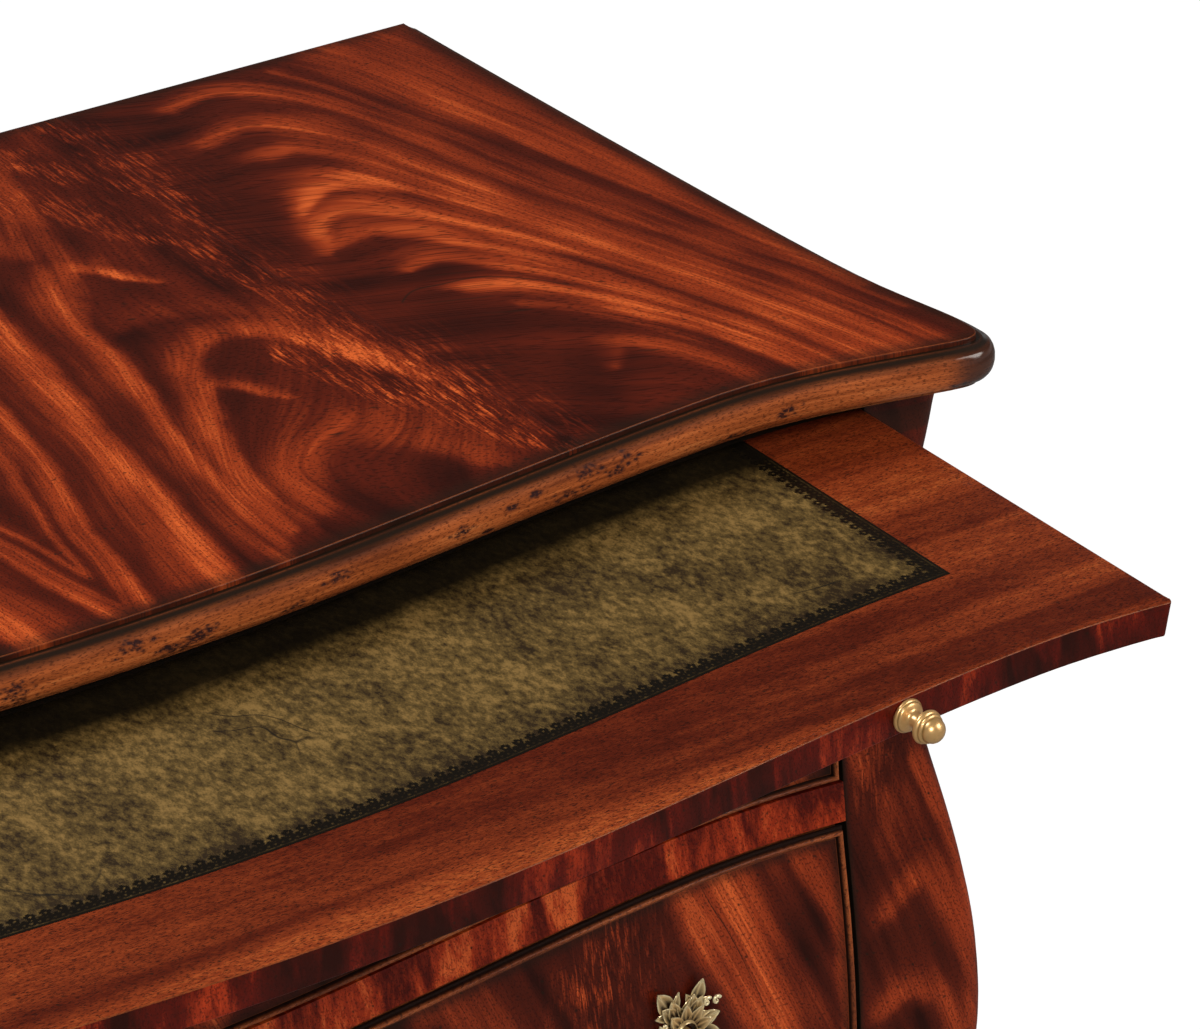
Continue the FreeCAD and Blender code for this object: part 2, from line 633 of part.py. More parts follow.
def back_screws():
    """Screws that hold the back panel to the sides' rebates."""
    profile = [(0, -SCREW_LENGTH), (SCREW_SHANK_RADIUS, -SCREW_LENGTH + 3),
               (SCREW_SHANK_RADIUS, 0), (SCREW_HEAD_RADIUS, 0), (SCREW_HEAD_RADIUS, 1.0),
               (0.6 * SCREW_HEAD_RADIUS, 2.0), (0, 2.0)]
    x = SIDE_INNER + BACK_REBATE / 2
    screws = [turned(profile, Vector(x, CASE_DEPTH, z), Vector(0, 1, 0))
              for z in spread(BASE_LINE + SCREW_END, TOP_UNDERSIDE - SCREW_END, SCREW_ROWS)]
    return Part.makeCompound([both_sides(screw) for screw in screws])


# ---- Base -------------------------------------------------------------------------
def base_outline():
    return outline(lambda x: front_y(x, BASE_LINE), lambda y: side_x(y, BASE_LINE),
                   corner_x(BASE_LINE), BASE_CORNER_RADIUS, CASE_DEPTH)


def base_moulding():
    low = BASE_BOTTOM
    top = BASE_LINE - BASE_MOULD_BELOW
    height = top - low
    reach = BASE_MOULD_REACH
    ovolo = [(0.3 * reach, top - 0.15 * height), (0.66 * reach, top - 0.24 * height),
             (0.9 * reach, top - 0.46 * height), (0.95 * reach, top - 0.7 * height)]
    edges = [[(0, low), (0, top)], [(0, top), (0.3 * reach, top)],
             [(0.3 * reach, top), ovolo[0]], ovolo, [ovolo[-1], (reach, ovolo[-1][1])],
             [(reach, ovolo[-1][1]), (reach, low)], [(reach, low), (0, low)]]
    return moulding(whole(base_outline()), edges)


def foot_profile():
    """Ogee section of a bracket foot, as edges of (outward, height), with an allowance
    at both ends that is trimmed off flat."""
    top = BASE_BOTTOM
    reach = FOOT_REACH
    ogee = [(reach, top), (0.5 * reach, 0.8 * top), (0.25 * reach, 0.62 * top),
            (0.75 * reach, 0.42 * top), (1.4 * reach, 0.24 * top),
            (1.1 * reach, 0.08 * top), (0.6 * reach, 0)]
    inner = reach - FOOT_THICKNESS
    low, high = -FOOT_TRIM, top + FOOT_TRIM
    corners = [ogee[-1], (ogee[-1][0], low), (inner, low), (inner, high), (reach, high),
               ogee[0]]
    return [ogee] + [list(edge) for edge in zip(corners, corners[1:])]


def scroll(half_length):
    """Cutter for a bracket's shaped lower edge, in XZ, from a mid-span to the pad."""
    top = BASE_BOTTOM
    points = [(0, -FOOT_TRIM), (0, 0.86 * top), (0.3 * half_length, 0.8 * top),
              (0.42 * half_length, 0.56 * top), (0.56 * half_length, 0.42 * top),
              (0.62 * half_length, 0.12 * top), (0.63 * half_length, -FOOT_TRIM)]
    line = [Vector(x, 0, z) for x, z in points]
    shape = Part.Wire([Part.makeLine(line[0], line[1]), spline(line[1:]),
                       Part.makeLine(line[-1], line[0])])
    return Part.Face(shape)


def base_corner():
    return Vector(corner_x(BASE_LINE), front_y(corner_x(BASE_LINE), BASE_LINE), 0)


def mitred(wing, far_corner):
    """A wing of a foot, cut off on the mitre line through the corner of the case."""
    corner = base_corner()
    reach = Vector(HEIGHT, -HEIGHT, 0)
    ends = [corner + reach, corner - reach, corner + far_corner * 2 * HEIGHT]
    half = Part.Face(Part.makePolygon(ends + ends[:1]))
    return wing.common(half.extrude(Vector(0, 0, BASE_BOTTOM)))


def front_foot():
    """Right front bracket foot: ogee wings along the front and the side, mitred."""
    corner = base_corner()
    past = 2 * FOOT_THICKNESS
    start = corner.x - FOOT_FRONT_WING
    end = corner.y + FOOT_SIDE_WING
    front_line = [Vector(x, front_y(x, BASE_LINE), 0)
                  for x in spread(start, corner.x + past, 9)]
    side_line = [Vector(side_x(y, BASE_LINE), y, 0)
                 for y in spread(corner.y - past, end, 9)]
    front_wing = mitred(moulding(front_line, foot_profile()), Vector(-1, -1, 0))
    side_wing = mitred(moulding(side_line, foot_profile()), Vector(1, 1, 0))
    front_cut = scroll(FOOT_FRONT_WING).extrude(Vector(0, 2 * past, 0))
    front_cut.translate(Vector(start - 1, corner.y - past, 0))
    side_cut = scroll(FOOT_SIDE_WING).extrude(Vector(0, 2 * past, 0))
    side_cut.rotate(Vector(0, 0, 0), Vector(0, 0, 1), -90)
    side_cut.translate(Vector(corner.x - past, end + 1, 0))
    return front_wing.cut(front_cut).fuse(side_wing.cut(side_cut)).removeSplitter()


def back_foot():
    """Right back bracket foot: one ogee face along the side."""
    start = CASE_DEPTH - FOOT_SIDE_WING
    path = [Vector(side_x(y, BASE_LINE), y, 0) for y in spread(start, CASE_DEPTH, 7)]
    foot = moulding(path, foot_profile())
    cut = 2 * FOOT_THICKNESS
    side_cut = scroll(FOOT_SIDE_WING).extrude(Vector(0, 2 * cut, 0))
    side_cut.rotate(Vector(0, 0, 0), Vector(0, 0, 1), 90)
    side_cut.translate(Vector(path[0].x + cut, path[0].y - 1, 0))
    floor_to_case = box((0, HEIGHT), (0, HEIGHT), (0, BASE_BOTTOM))
    return foot.common(floor_to_case).cut(side_cut)


def foot_blocks(front_bracket, back_bracket):
    """Glue blocks in the corners behind the right-hand feet and their mirror images."""
    inner = FOOT_THICKNESS - FOOT_REACH
    x = side_x(STILE_DEPTH, BASE_LINE) - inner
    y = front_y(x - FOOT_BLOCK, BASE_LINE) + inner
    height = (FOOT_BLOCK_SHORT, BASE_BOTTOM)
    front_block = box((x - FOOT_BLOCK, x), (y, y + FOOT_BLOCK), height)
    x_back = side_x(CASE_DEPTH, BASE_LINE) - inner
    back_block = box((x_back - FOOT_BLOCK, x_back), (CASE_DEPTH - FOOT_BLOCK, CASE_DEPTH),
                     height)
    return Part.makeCompound([both_sides(front_block.cut(front_bracket)),
                              both_sides(back_block.cut(back_bracket))])


# ---- Whole chest ------------------------------------------------------------------
def openings():
    """(low, high) of each drawer opening, from the lowest up."""
    room = SLIDE_RAIL_BOTTOM - BASE_LINE - (DRAWERS - 1) * RAIL_THICKNESS
    levels = []
    low = BASE_LINE
    for i in range(DRAWERS):
        height = room / DRAWERS + DRAWER_GRADUATION * ((DRAWERS - 1) / 2 - i)
        levels.append((low, low + height))
        low += height + RAIL_THICKNESS
    return levels


def case():
    levels = openings()
    lows = [low for low, high in levels]
    dividers = lows[1:]
    right_side, right_stile = side(), stile()
    screws = back_screws()
    panel = box((-SIDE_INNER - BACK_REBATE, SIDE_INNER + BACK_REBATE),
                (BACK_INNER, CASE_DEPTH), (BASE_BOTTOM, TOP_UNDERSIDE))
    bearer = box((BEARER_INNER, SIDE_INNER), (STILE_DEPTH, BACK_INNER),
                 (SLIDE_RAIL_BOTTOM, SLIDE_BOTTOM - BEARER_GAP))
    kicker = box((BEARER_INNER, SIDE_INNER), (STILE_DEPTH, BACK_INNER),
                 (SLIDE_TOP + BEARER_GAP, TOP_UNDERSIDE))
    base_low = BASE_LINE - BOTTOM_THICKNESS
    foot_right, foot_back = front_foot(), back_foot()
    return {
        "top_panel": top_panel(), "top_edge_moulding": top_moulding(),
        "stile_right": right_stile, "stile_left": mirrored(right_stile),
        "side_right": right_side.cut(screws), "side_left": mirrored(right_side).cut(screws),
        "back_panel": panel.cut(screws), "back_screws": screws,
        "top_rail": rail(TOP_UNDERSIDE - TOP_RAIL_THICKNESS, TOP_UNDERSIDE),
        "slide_rail": rail(SLIDE_RAIL_BOTTOM, SLIDE_RAIL_TOP),
        "divider_rail_upper": rail(dividers[1] - RAIL_THICKNESS, dividers[1]),
        "divider_rail_lower": rail(dividers[0] - RAIL_THICKNESS, dividers[0]),
        "base_rail": rail(BASE_BOTTOM, BASE_LINE),
        "bottom_board": box((-SIDE_INNER, SIDE_INNER), (STILE_DEPTH, BACK_INNER),
                            (base_low, BASE_LINE)),
        "dust_board_upper": dust_board(dividers[1]),
        "dust_board_lower": dust_board(dividers[0]),
        "drawer_runners": runners(dividers), "drawer_guides": guides(lows),
        "drawer_stops": drawer_stops(lows),
        "slide_bearers": both_sides(bearer), "slide_kickers": both_sides(kicker),
        "base_moulding": base_moulding(),
        "foot_front_right": foot_right, "foot_front_left": mirrored(foot_right),
        "foot_back_right": foot_back, "foot_back_left": mirrored(foot_back),
        "foot_blocks": foot_blocks(foot_right, foot_back)}


def all_pieces():
    pieces = case()
    pieces.update(slide())
    for i, (low, high) in enumerate(openings()):
        pieces.update(drawer("drawer_%d" % (DRAWERS - i), low, high))
    return pieces


def origin_shift(pieces):
    """Moves the middle of the depth, slide knobs to the top's back edge, to y = 0."""
    nearest = min(pieces["slide_knob_right"].BoundBox.YMin, slide_front_y(0))
    return Vector(0, -(nearest + TOP_BACK) / 2, 0)


def main():
    os.makedirs("parts", exist_ok=True)
    pieces = all_pieces()
    shift = origin_shift(pieces)
    for name, shape in pieces.items():
        shape.translate(shift)
        shape.exportStep("parts/%s.step" % name)


if __name__ == "__main__":
    main()
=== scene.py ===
import json
import math

import bmesh
import bpy
import numpy as np
from bpy.props import FloatProperty, FloatVectorProperty, IntProperty, PointerProperty
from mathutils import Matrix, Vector
from mathutils.bvhtree import BVHTree


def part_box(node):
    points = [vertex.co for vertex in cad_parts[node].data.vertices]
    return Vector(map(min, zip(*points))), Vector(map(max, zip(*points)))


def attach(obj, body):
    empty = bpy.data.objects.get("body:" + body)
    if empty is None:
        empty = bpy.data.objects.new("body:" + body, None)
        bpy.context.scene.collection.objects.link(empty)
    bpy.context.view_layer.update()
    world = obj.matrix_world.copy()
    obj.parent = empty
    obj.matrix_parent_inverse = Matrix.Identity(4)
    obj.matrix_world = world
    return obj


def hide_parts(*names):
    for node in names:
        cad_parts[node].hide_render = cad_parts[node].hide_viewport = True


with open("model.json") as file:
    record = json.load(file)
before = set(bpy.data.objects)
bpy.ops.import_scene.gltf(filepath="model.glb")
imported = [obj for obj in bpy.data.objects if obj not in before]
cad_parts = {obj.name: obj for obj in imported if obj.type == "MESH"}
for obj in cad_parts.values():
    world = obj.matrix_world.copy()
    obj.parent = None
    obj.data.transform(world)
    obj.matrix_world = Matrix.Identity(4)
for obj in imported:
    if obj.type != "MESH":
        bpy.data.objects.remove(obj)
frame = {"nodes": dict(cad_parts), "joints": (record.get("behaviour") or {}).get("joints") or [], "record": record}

bl_info = {
    "name": "Bombe chest",
    "version": (1, 0, 0),
    "blender": (4, 5, 0),
    "location": "View3D > Sidebar > Chest",
    "description": "Veneers, mouldings, leather and brass for a bombe chest of drawers",
    "category": "Object",
}

MM = 0.001
NODES = frame["nodes"]
JOINTS = {joint["name"]: joint for joint in frame["joints"]}
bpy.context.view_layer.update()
DRAWERS = ("drawer_1", "drawer_2", "drawer_3")
RAILS = ("base_rail", "divider_rail_lower", "divider_rail_upper", "slide_rail", "top_rail")
OUT = Vector((0, -1, 0))
FAR = 2                         # metres to stand off when a surface is looked for
QUARTER_TURN = math.pi / 2


def linear(text):
    """Linear colour with alpha 1 from an sRGB hex value."""
    parts = [int(text[i:i + 2], 16) / 255 for i in (0, 2, 4)]
    return [c / 12.92 if c <= 0.04045 else ((c + 0.055) / 1.055) ** 2.4
            for c in parts] + [1.0]


def colour(name, text, description):
    return FloatVectorProperty(name=name, description=description, subtype="COLOR", size=4,
                               min=0, max=1, default=linear(text))


def length(name, value, description):
    return FloatProperty(name=name, description=description, default=value, min=0,
                         unit="LENGTH", precision=4)


class ChestSettings(bpy.types.PropertyGroup):
    """Sizes and colours of the chest's finish."""
    arris: length("Arris", 0.9 * MM, "Radius to which sharp wooden edges are eased")
    leaf_grid: length("Leaf grid", 2.5 * MM, "Spacing of the points that carry the figure")
    burnish: length("Burnish", 16 * MM, "Width of the dark, rubbed border of each veneer")
    tooling_width: length("Tooling width", 13.5 * MM, "Width of the tooled leather border")
    leaf_proud: length("Leaf height", 0.25 * MM, "Height of the veneer over its board")
    bead_width: length("Bead width", 2.9 * MM, "Width of the drawers' cock-beads")
    bead_proud: length("Bead height", 2.5 * MM, "Height of the cock-beads over the face")
    bead_quirk: length("Bead quirk", 1.1 * MM, "Groove between the cock-bead and the face")
    # The groove outside the bead is painted near black as the shade of the gap round the drawer.
    bead_groove: length("Bead groove", 1.3 * MM, "Sunk, dirty edge outside the cock-bead")
    # The darkening from the quirk is old wax and painted shade.
    quirk_reach: length("Quirk dirt", 11 * MM, "How far dirt reaches from the moulding's quirk")
    corner_reach: length("Corner wear", 14 * MM, "Half length of the rubbed moulding corner")
    rosette_reach: length("Rosette reach", 34 * MM, "Length of a rosette's longest leaf")
    motif_pitch: length("Motif pitch", 7.8 * MM, "Spacing of the stamped florets")
    tooling_depth: length("Tooling depth", 0.35 * MM, "Depth of the stamped border")
    dents: IntProperty(name="Dents", description="Marks of age in the top's moulding",
                       default=1500, min=0)
    seed: IntProperty(name="Seed", description="Seed of all random marks", default=7)
    veneer_dark: colour("Veneer dark", "260904", "Darkest bands of the figured mahogany")
    veneer_deep: colour("Veneer deep", "54190a", "Ground of the figured mahogany")
    veneer_warm: colour("Veneer warm", "8e3414", "Warm bands of the figured mahogany")
    veneer_bright: colour("Veneer bright", "cc5c28", "Flame of the figured mahogany")
    band_deep: colour("Banding deep", "520f05", "Ground of the cross-banding")
    band_warm: colour("Banding warm", "9a3010", "Red bars of the cross-banding")
    solid_dark: colour("Solid dark", "4a2010", "Darkest grain of the mouldings")
    solid_deep: colour("Solid deep", "7a3c1c", "Dark grain of the mouldings")
    solid_ground: colour("Solid ground", "a9592c", "Solid mahogany of the mouldings")
    solid_light: colour("Solid light", "c67a44", "Light grain of the mouldings")
    straight_dark: colour("Straight dark", "521b0c", "Dark bands of the slide's board")
    straight_ground: colour("Straight ground", "7e3417", "Straight-grain board of the slide")
    straight_light: colour("Straight light", "a65226", "Light streaks of the slide's board")
    leather_light: colour("Leather light", "7d6235", "Rubbed places of the leather")
    leather_ground: colour("Leather ground", "544220", "Olive leather")
    leather_dark: colour("Leather dark", "281c0c", "Dark mottling of the leather")
    # This colour also paints shade: the top's shadow on the leather, and the near-black shaded finish.
    tooling_ink_and_shade: colour("Tooling", "120e09", "Burnt-in tooled border")
    brass: colour("Brass", "d8ab6e", "Lacquered brass")
    cast_brass: colour("Cast brass", "fbeabc", "Rubbed, pale brass of the cast leaves")
    brass_worn: colour("Brass worn", "a07f46", "Brass between its ridges and recesses")
    cast_worn: colour("Cast brass worn", "c4a976", "Cast brass between its ridges and recesses")
    brass_dark: colour("Brass recess", "2e1c0c", "Darkened brass in the recesses")
    worm: colour("Worm marks", "2e1a1a", "Purple-brown worm marks in the mouldings")
    # This colour is old wax in specks and dents, and also painted shade: in the moulding's quirk and underside, in
    # the beads' grooves, in a band on the stiles and in the near-black shaded finish.
    dirt_and_shade: colour("Dirt", "1f140c", "Old wax and dirt in corners and dents")
    steel: colour("Steel", "8f8c88", "Turned steel of the screws")
    steel_dark: colour("Steel dark", "6d6a66", "Dull rings of the screws")
    inside: colour("Inside wood", "a06a3c", "Plain wood inside the chest")
    inside_dark: colour("Inside wood dark", "74492a", "Dark grain of the inside wood")
    floor: colour("Floor", "f2f1ef", "Studio floor and backdrop")
    key_watts: FloatProperty(name="Key lamp", description="Power of the main lamp", default=78)
    fill_watts: FloatProperty(name="Fill lamp", description="Power of the soft lamp", default=62)
    high_watts: FloatProperty(name="High lamp", description="Power of the lamp over the back",
                              default=70)
    air: FloatProperty(name="Air", description="Strength of the pale surroundings", default=0.16)


# ---- Shapes read from the frame -----------------------------------------------------
def tree_of(*names):
    """A search tree over the surfaces of some CAD nodes."""
    points, faces = [], []
    for name in names:
        mesh = NODES[name].data
        start = len(points)
        points += [v.co.copy() for v in mesh.vertices]
        faces += [[start + i for i in p.vertices] for p in mesh.polygons]
    return BVHTree.FromPolygons(points, faces)


def cast(tree, start, direction):
    """The first point of a surface on the way from a place in a direction."""
    hit = tree.ray_cast(Vector(start), Vector(direction))[0]
    if hit is None:
        raise RuntimeError("no surface in front of %s towards %s" % (start, direction))
    return hit


def smooth_curve(xs, ys, t):
    """Values at t of a smooth curve through points, carried straight on past its ends."""
    xs, ys, t = np.asarray(xs, float), np.asarray(ys, float), np.asarray(t, float)
    slopes = np.gradient(ys, xs)
    inside = np.clip(t, xs[0], xs[-1])
    i = np.clip(np.searchsorted(xs, inside, side="right") - 1, 0, len(xs) - 2)
    span = xs[i + 1] - xs[i]
    s = (inside - xs[i]) / span
    rise = ys[i + 1] - ys[i]
    value = (ys[i] + rise * (3 * s ** 2 - 2 * s ** 3)
             + span * (slopes[i] * (s - 2 * s ** 2 + s ** 3) + slopes[i + 1] * (s ** 3 - s ** 2)))
    past = t - inside
    return value + past * np.where(past > 0, slopes[-1], slopes[0])


class CaseFront:
    """The serpentine, swelled front of the case, measured on its rails and drawers."""

    def __init__(self):
        margin = 1 * MM
        low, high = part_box("divider_rail_upper")
        level = (low.z + high.z) / 2
        rail = tree_of("divider_rail_upper")
        self.xs = np.linspace(low.x + margin, high.x - margin, 81)
        self.plan = [cast(rail, (x, -FAR, level), -OUT).y for x in self.xs]
        whole = tree_of(*RAILS, *[d + "_front" for d in DRAWERS])
        stack = [(name, margin, 2) for name in RAILS]
        stack += [(d + "_front", 7 * MM, 14) for d in DRAWERS]
        levels = []
        for name, inset, count in stack:
            low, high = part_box(name)
            levels += list(np.linspace(low.z + inset, high.z - inset, count))
        self.zs = sorted(levels)
        self.rise = [cast(whole, (0, -FAR, z), -OUT).y for z in self.zs]
        self.middle = float(smooth_curve(self.zs, self.rise, level))

    def y(self, x, z):
        """Where the front lies at places across it and up it."""
        return (smooth_curve(self.xs, self.plan, x) + smooth_curve(self.zs, self.rise, z)
                - self.middle)

    def normal(self, x, z):
        """Unit normals of the front, pointing out of the case."""
        step = 1 * MM
        dx = (self.y(x + step, z) - self.y(x - step, z)) / (2 * step)
        dz = (self.y(x, z + step) - self.y(x, z - step)) / (2 * step)
        return unit(np.stack([dx, -np.ones_like(dx), dz], -1))


def outline_of(name, height, spacing):
    """Closed outline of a node's flat face at a height, anticlockwise, as (x, y)."""
    corners = {(round(v.co.x, 6), round(v.co.y, 6)) for v in NODES[name].data.vertices
               if abs(v.co.z - height) < 1e-5}
    points = np.array(sorted(corners))
    middle = (points.min(0) + points.max(0)) / 2
    order = np.argsort(np.arctan2(points[:, 1] - middle[1], points[:, 0] - middle[0]))
    points = points[order]
    line = []
    for p, q in zip(points, np.roll(points, -1, axis=0)):
        count = max(1, int(np.linalg.norm(q - p) / spacing))
        line += [p + (q - p) * i / count for i in range(count)]
    return np.array(line)


def unit(vectors):
    return vectors / np.linalg.norm(vectors, axis=-1, keepdims=True)


def run_along(line):
    """How far along a line of points each of them lies."""
    return np.concatenate([[0], np.cumsum(np.linalg.norm(np.diff(line, axis=0), axis=1))])


def points_at(line, run, at):
    """Points on a line at some distances along it."""
    return np.stack([np.interp(at, run, line[:, k]) for k in range(line.shape[1])], -1)


def even(points, spacing, closed=False):
    """Points spaced evenly along a line of points."""
    line = np.vstack([points, points[:1]]) if closed else np.asarray(points)
    run = run_along(line)
    count = max(2, int(round(run[-1] / spacing)))
    out = points_at(line, run, np.linspace(0, run[-1], count + 1))
    return out[:-1] if closed else out


# ---- Meshes ---------------------------------------------------------------------------
def slot_of(node):
    return next(part["material_slot"] for part in frame["record"]["subparts"]
                if part["node"] == node)


def add_object(name, data):
    thing = bpy.data.objects.new(name, data)
    bpy.context.scene.collection.objects.link(thing)
    return thing


def new_mesh(name, points, faces):
    mesh = bpy.data.meshes.new(name)
    mesh.from_pydata(np.reshape(points, (-1, 3)).tolist(), [], faces)
    return mesh


def finish_piece(mesh, body, node, finish, sharp=35.0, replaces=True):
    """A new object of a mesh on its body, shaded smooth up to an angle. It takes the place of a
    CAD node, or only lies on it."""
    mesh.validate()
    mesh.polygons.foreach_set("use_smooth", [True] * len(mesh.polygons))
    mesh.set_sharp_from_angle(angle=math.radians(sharp))
    mesh.materials.append(finish)
    piece = add_object(mesh.name, mesh)
    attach(piece, body)
    if replaces:
        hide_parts(node)


def store(mesh, name, values):
    """Stores a number or a vector for each point, which a finish reads by its name."""
    values = np.asarray(values, np.float32)
    kind, field = ("FLOAT", "value") if values.ndim == 1 else ("FLOAT_VECTOR", "vector")
    mesh.attributes.new(name, kind, "POINT").data.foreach_set(field, values.ravel())


def strip_faces(rows, columns, start=0, around=False):
    """Quads of a grid of points stored row by row."""
    faces = []
    last = columns if around else columns - 1
    for i in range(rows - 1):
        for j in range(last):
            k = (j + 1) % columns
            a, b = start + i * columns, start + (i + 1) * columns
            faces.append((a + j, a + k, b + k, b + j))
    return faces


def rod_faces(rows, columns):
    """Faces of a closed section swept along a line, with its two ends."""
    end = (rows - 1) * columns
    return strip_faces(rows, columns, around=True) + [
        tuple(range(columns)), tuple(end + i for i in reversed(range(columns)))]


def orient(mesh, up=False):
    """Turns all faces outward, or those of a flat mesh upward."""
    shape = bmesh.new()
    shape.from_mesh(mesh)
    if up:
        bmesh.ops.reverse_faces(shape, faces=[f for f in shape.faces if f.normal.z < 0])
    else:
        bmesh.ops.recalc_face_normals(shape, faces=shape.faces)
    shape.to_mesh(mesh)
    shape.free()


def points_of(mesh):
    """The points of a mesh, a row each."""
    co = np.empty(3 * len(mesh.vertices), np.float32)
    mesh.vertices.foreach_get("co", co)
    return co.reshape(-1, 3).astype(float)


def edge_distance(points, outline):
    """Distance of each point from a closed outline, both in plan."""
    nearest = np.full(len(points), 9.0)
    for p, q in zip(outline, np.roll(outline, -1, axis=0)):
        d = q - p
        t = np.clip(((points - p) @ d) / max(d @ d, 1e-12), 0, 1)
        nearest = np.minimum(nearest, np.linalg.norm(points - (p + t[:, None] * d), axis=1))
    return nearest


def inset_outline(outline, distance):
    """A closed outline moved inward. It runs anticlockwise."""
    along = unit(np.roll(outline, -1, axis=0) - np.roll(outline, 1, axis=0))
    return outline + distance * np.stack([-along[:, 1], along[:, 0]], -1)


def flat_board(name, outline, top, bottom, arris, spacing):
    """A board with eased upper edges. Its flat face carries an even grid of points."""
    shape = bmesh.new()
    inner = inset_outline(outline, arris)
    shape.faces.new([shape.verts.new((x, y, top)) for x, y in inner])
    low, high = inner.min(0), inner.max(0)
    for axis in (0, 1):
        normal = Vector((1, 0, 0)) if axis == 0 else Vector((0, 1, 0))
        count = int((high[axis] - low[axis]) / spacing)
        for at in np.linspace(low[axis], high[axis], count + 1)[1:-1]:
            bmesh.ops.bisect_plane(shape, geom=shape.verts[:] + shape.edges[:] + shape.faces[:],
                                   plane_co=normal * at, plane_no=normal, dist=1e-6)
    rim = boundary_loop(shape)
    points = np.array([(v.co.x, v.co.y) for v in rim])
    if signed_area(points) < 0:
        rim.reverse()
        points = points[::-1]
    rings = [rim]
    steps = [(arris * math.sin(a), top - arris * (1 - math.cos(a)))
             for a in np.linspace(0, QUARTER_TURN, 5)[1:]] + [(arris, bottom)]
    for out, z in steps:
        ring = inset_outline(points, -out)
        rings.append([shape.verts.new((x, y, z)) for x, y in ring])
    for upper, lower in zip(rings, rings[1:]):
        for i in range(len(upper)):
            k = (i + 1) % len(upper)
            shape.faces.new((upper[i], lower[i], lower[k], upper[k]))
    shape.faces.new(list(reversed(rings[-1])))
    bmesh.ops.recalc_face_normals(shape, faces=shape.faces)
    mesh = bpy.data.meshes.new(name)
    shape.to_mesh(mesh)
    shape.free()
    return mesh


def boundary_loop(shape):
    """The points round the edge of an open shape, in turn."""
    rim = [e for e in shape.edges if len(e.link_faces) == 1]
    loop = list(rim[0].verts)
    edges = set(rim[1:])
    while edges:
        step = [e for e in loop[-1].link_edges if e in edges]
        if not step:
            break
        edges.remove(step[0])
        loop.append(step[0].other_vert(loop[-1]))
    return loop[:-1] if loop[0] == loop[-1] else loop


def signed_area(points):
    """Area within a closed outline, above 0 where it runs anticlockwise."""
    after = np.roll(points, -1, axis=0)
    return 0.5 * np.sum(points[:, 0] * after[:, 1] - after[:, 0] * points[:, 1])


# ---- Figure of the veneers ------------------------------------------------------------
# Flame bands of one leaf of crotch mahogany: strength, then points of the band's middle
# with its half width. Millimetres from the leaf's joint, up the leaf, and of width.
RIGHT_FLAMES = (
    (0.66, ((447, 400, 26), (450, 330, 24), (462, 250, 18), (478, 160, 12), (490, 70, 8),
            (500, 0, 5), (508, -60, 4))),
    (0.40, ((396, 370, 3), (423, 274, 4), (450, 148, 4), (474, 52, 4), (495, -14, 4),
            (510, -90, 4))),
    (0.55, ((318, 355, 5), (354, 364, 8), (390, 322, 9), (408, 268, 8), (420, 202, 7),
            (438, 136, 6), (456, 64, 5), (471, 10, 5), (486, -56, 5), (498, -130, 5))),
    (0.72, ((312, 300, 4), (342, 313, 7), (366, 292, 9), (384, 250, 9), (396, 202, 8),
            (409, 148, 7), (424, 96, 7), (440, 36, 6), (457, -22, 6), (472, -70, 6),
            (484, -130, 6))),
    (0.66, ((332, 268, 7), (354, 269, 10), (372, 238, 9), (382, 202, 7), (392, 158, 5))),
    (0.92, ((307, 190, 4), (330, 214, 9), (354, 210, 12), (376, 180, 9), (394, 140, 7),
            (409, 98, 7), (425, 44, 6), (442, -16, 6), (458, -70, 6), (472, -130, 6))),
    (0.86, ((296, 142, 4), (306, 172, 7), (330, 182, 9), (354, 160, 11), (373, 130, 8),
            (391, 92, 7), (409, 50, 6), (424, 2, 6), (440, -54, 6), (454, -126, 6))),
    (0.82, ((298, 143, 5), (322, 152, 8), (345, 135, 9), (361, 106, 7), (379, 68, 6),
            (395, 26, 5), (412, -24, 4))),
    (0.80, ((314, 98, 3), (336, 103, 6), (360, 76, 7), (382, 38, 7), (400, -4, 6),
            (416, -48, 6), (430, -98, 6), (438, -134, 6))),
    (0.95, ((331, 58, 7), (354, 46, 8), (375, 14, 8), (393, -22, 7), (409, -64, 6),
            (424, -128, 6))),
    (0.34, ((342, 26, 4), (360, 8, 4), (378, -22, 3), (392, -60, 3))),
    (0.50, ((342, -62, 3), (360, -41, 6), (378, -62, 8), (390, -98, 7), (396, -134, 6))),
    (0.22, ((340, -96, 12), (356, -112, 14))))
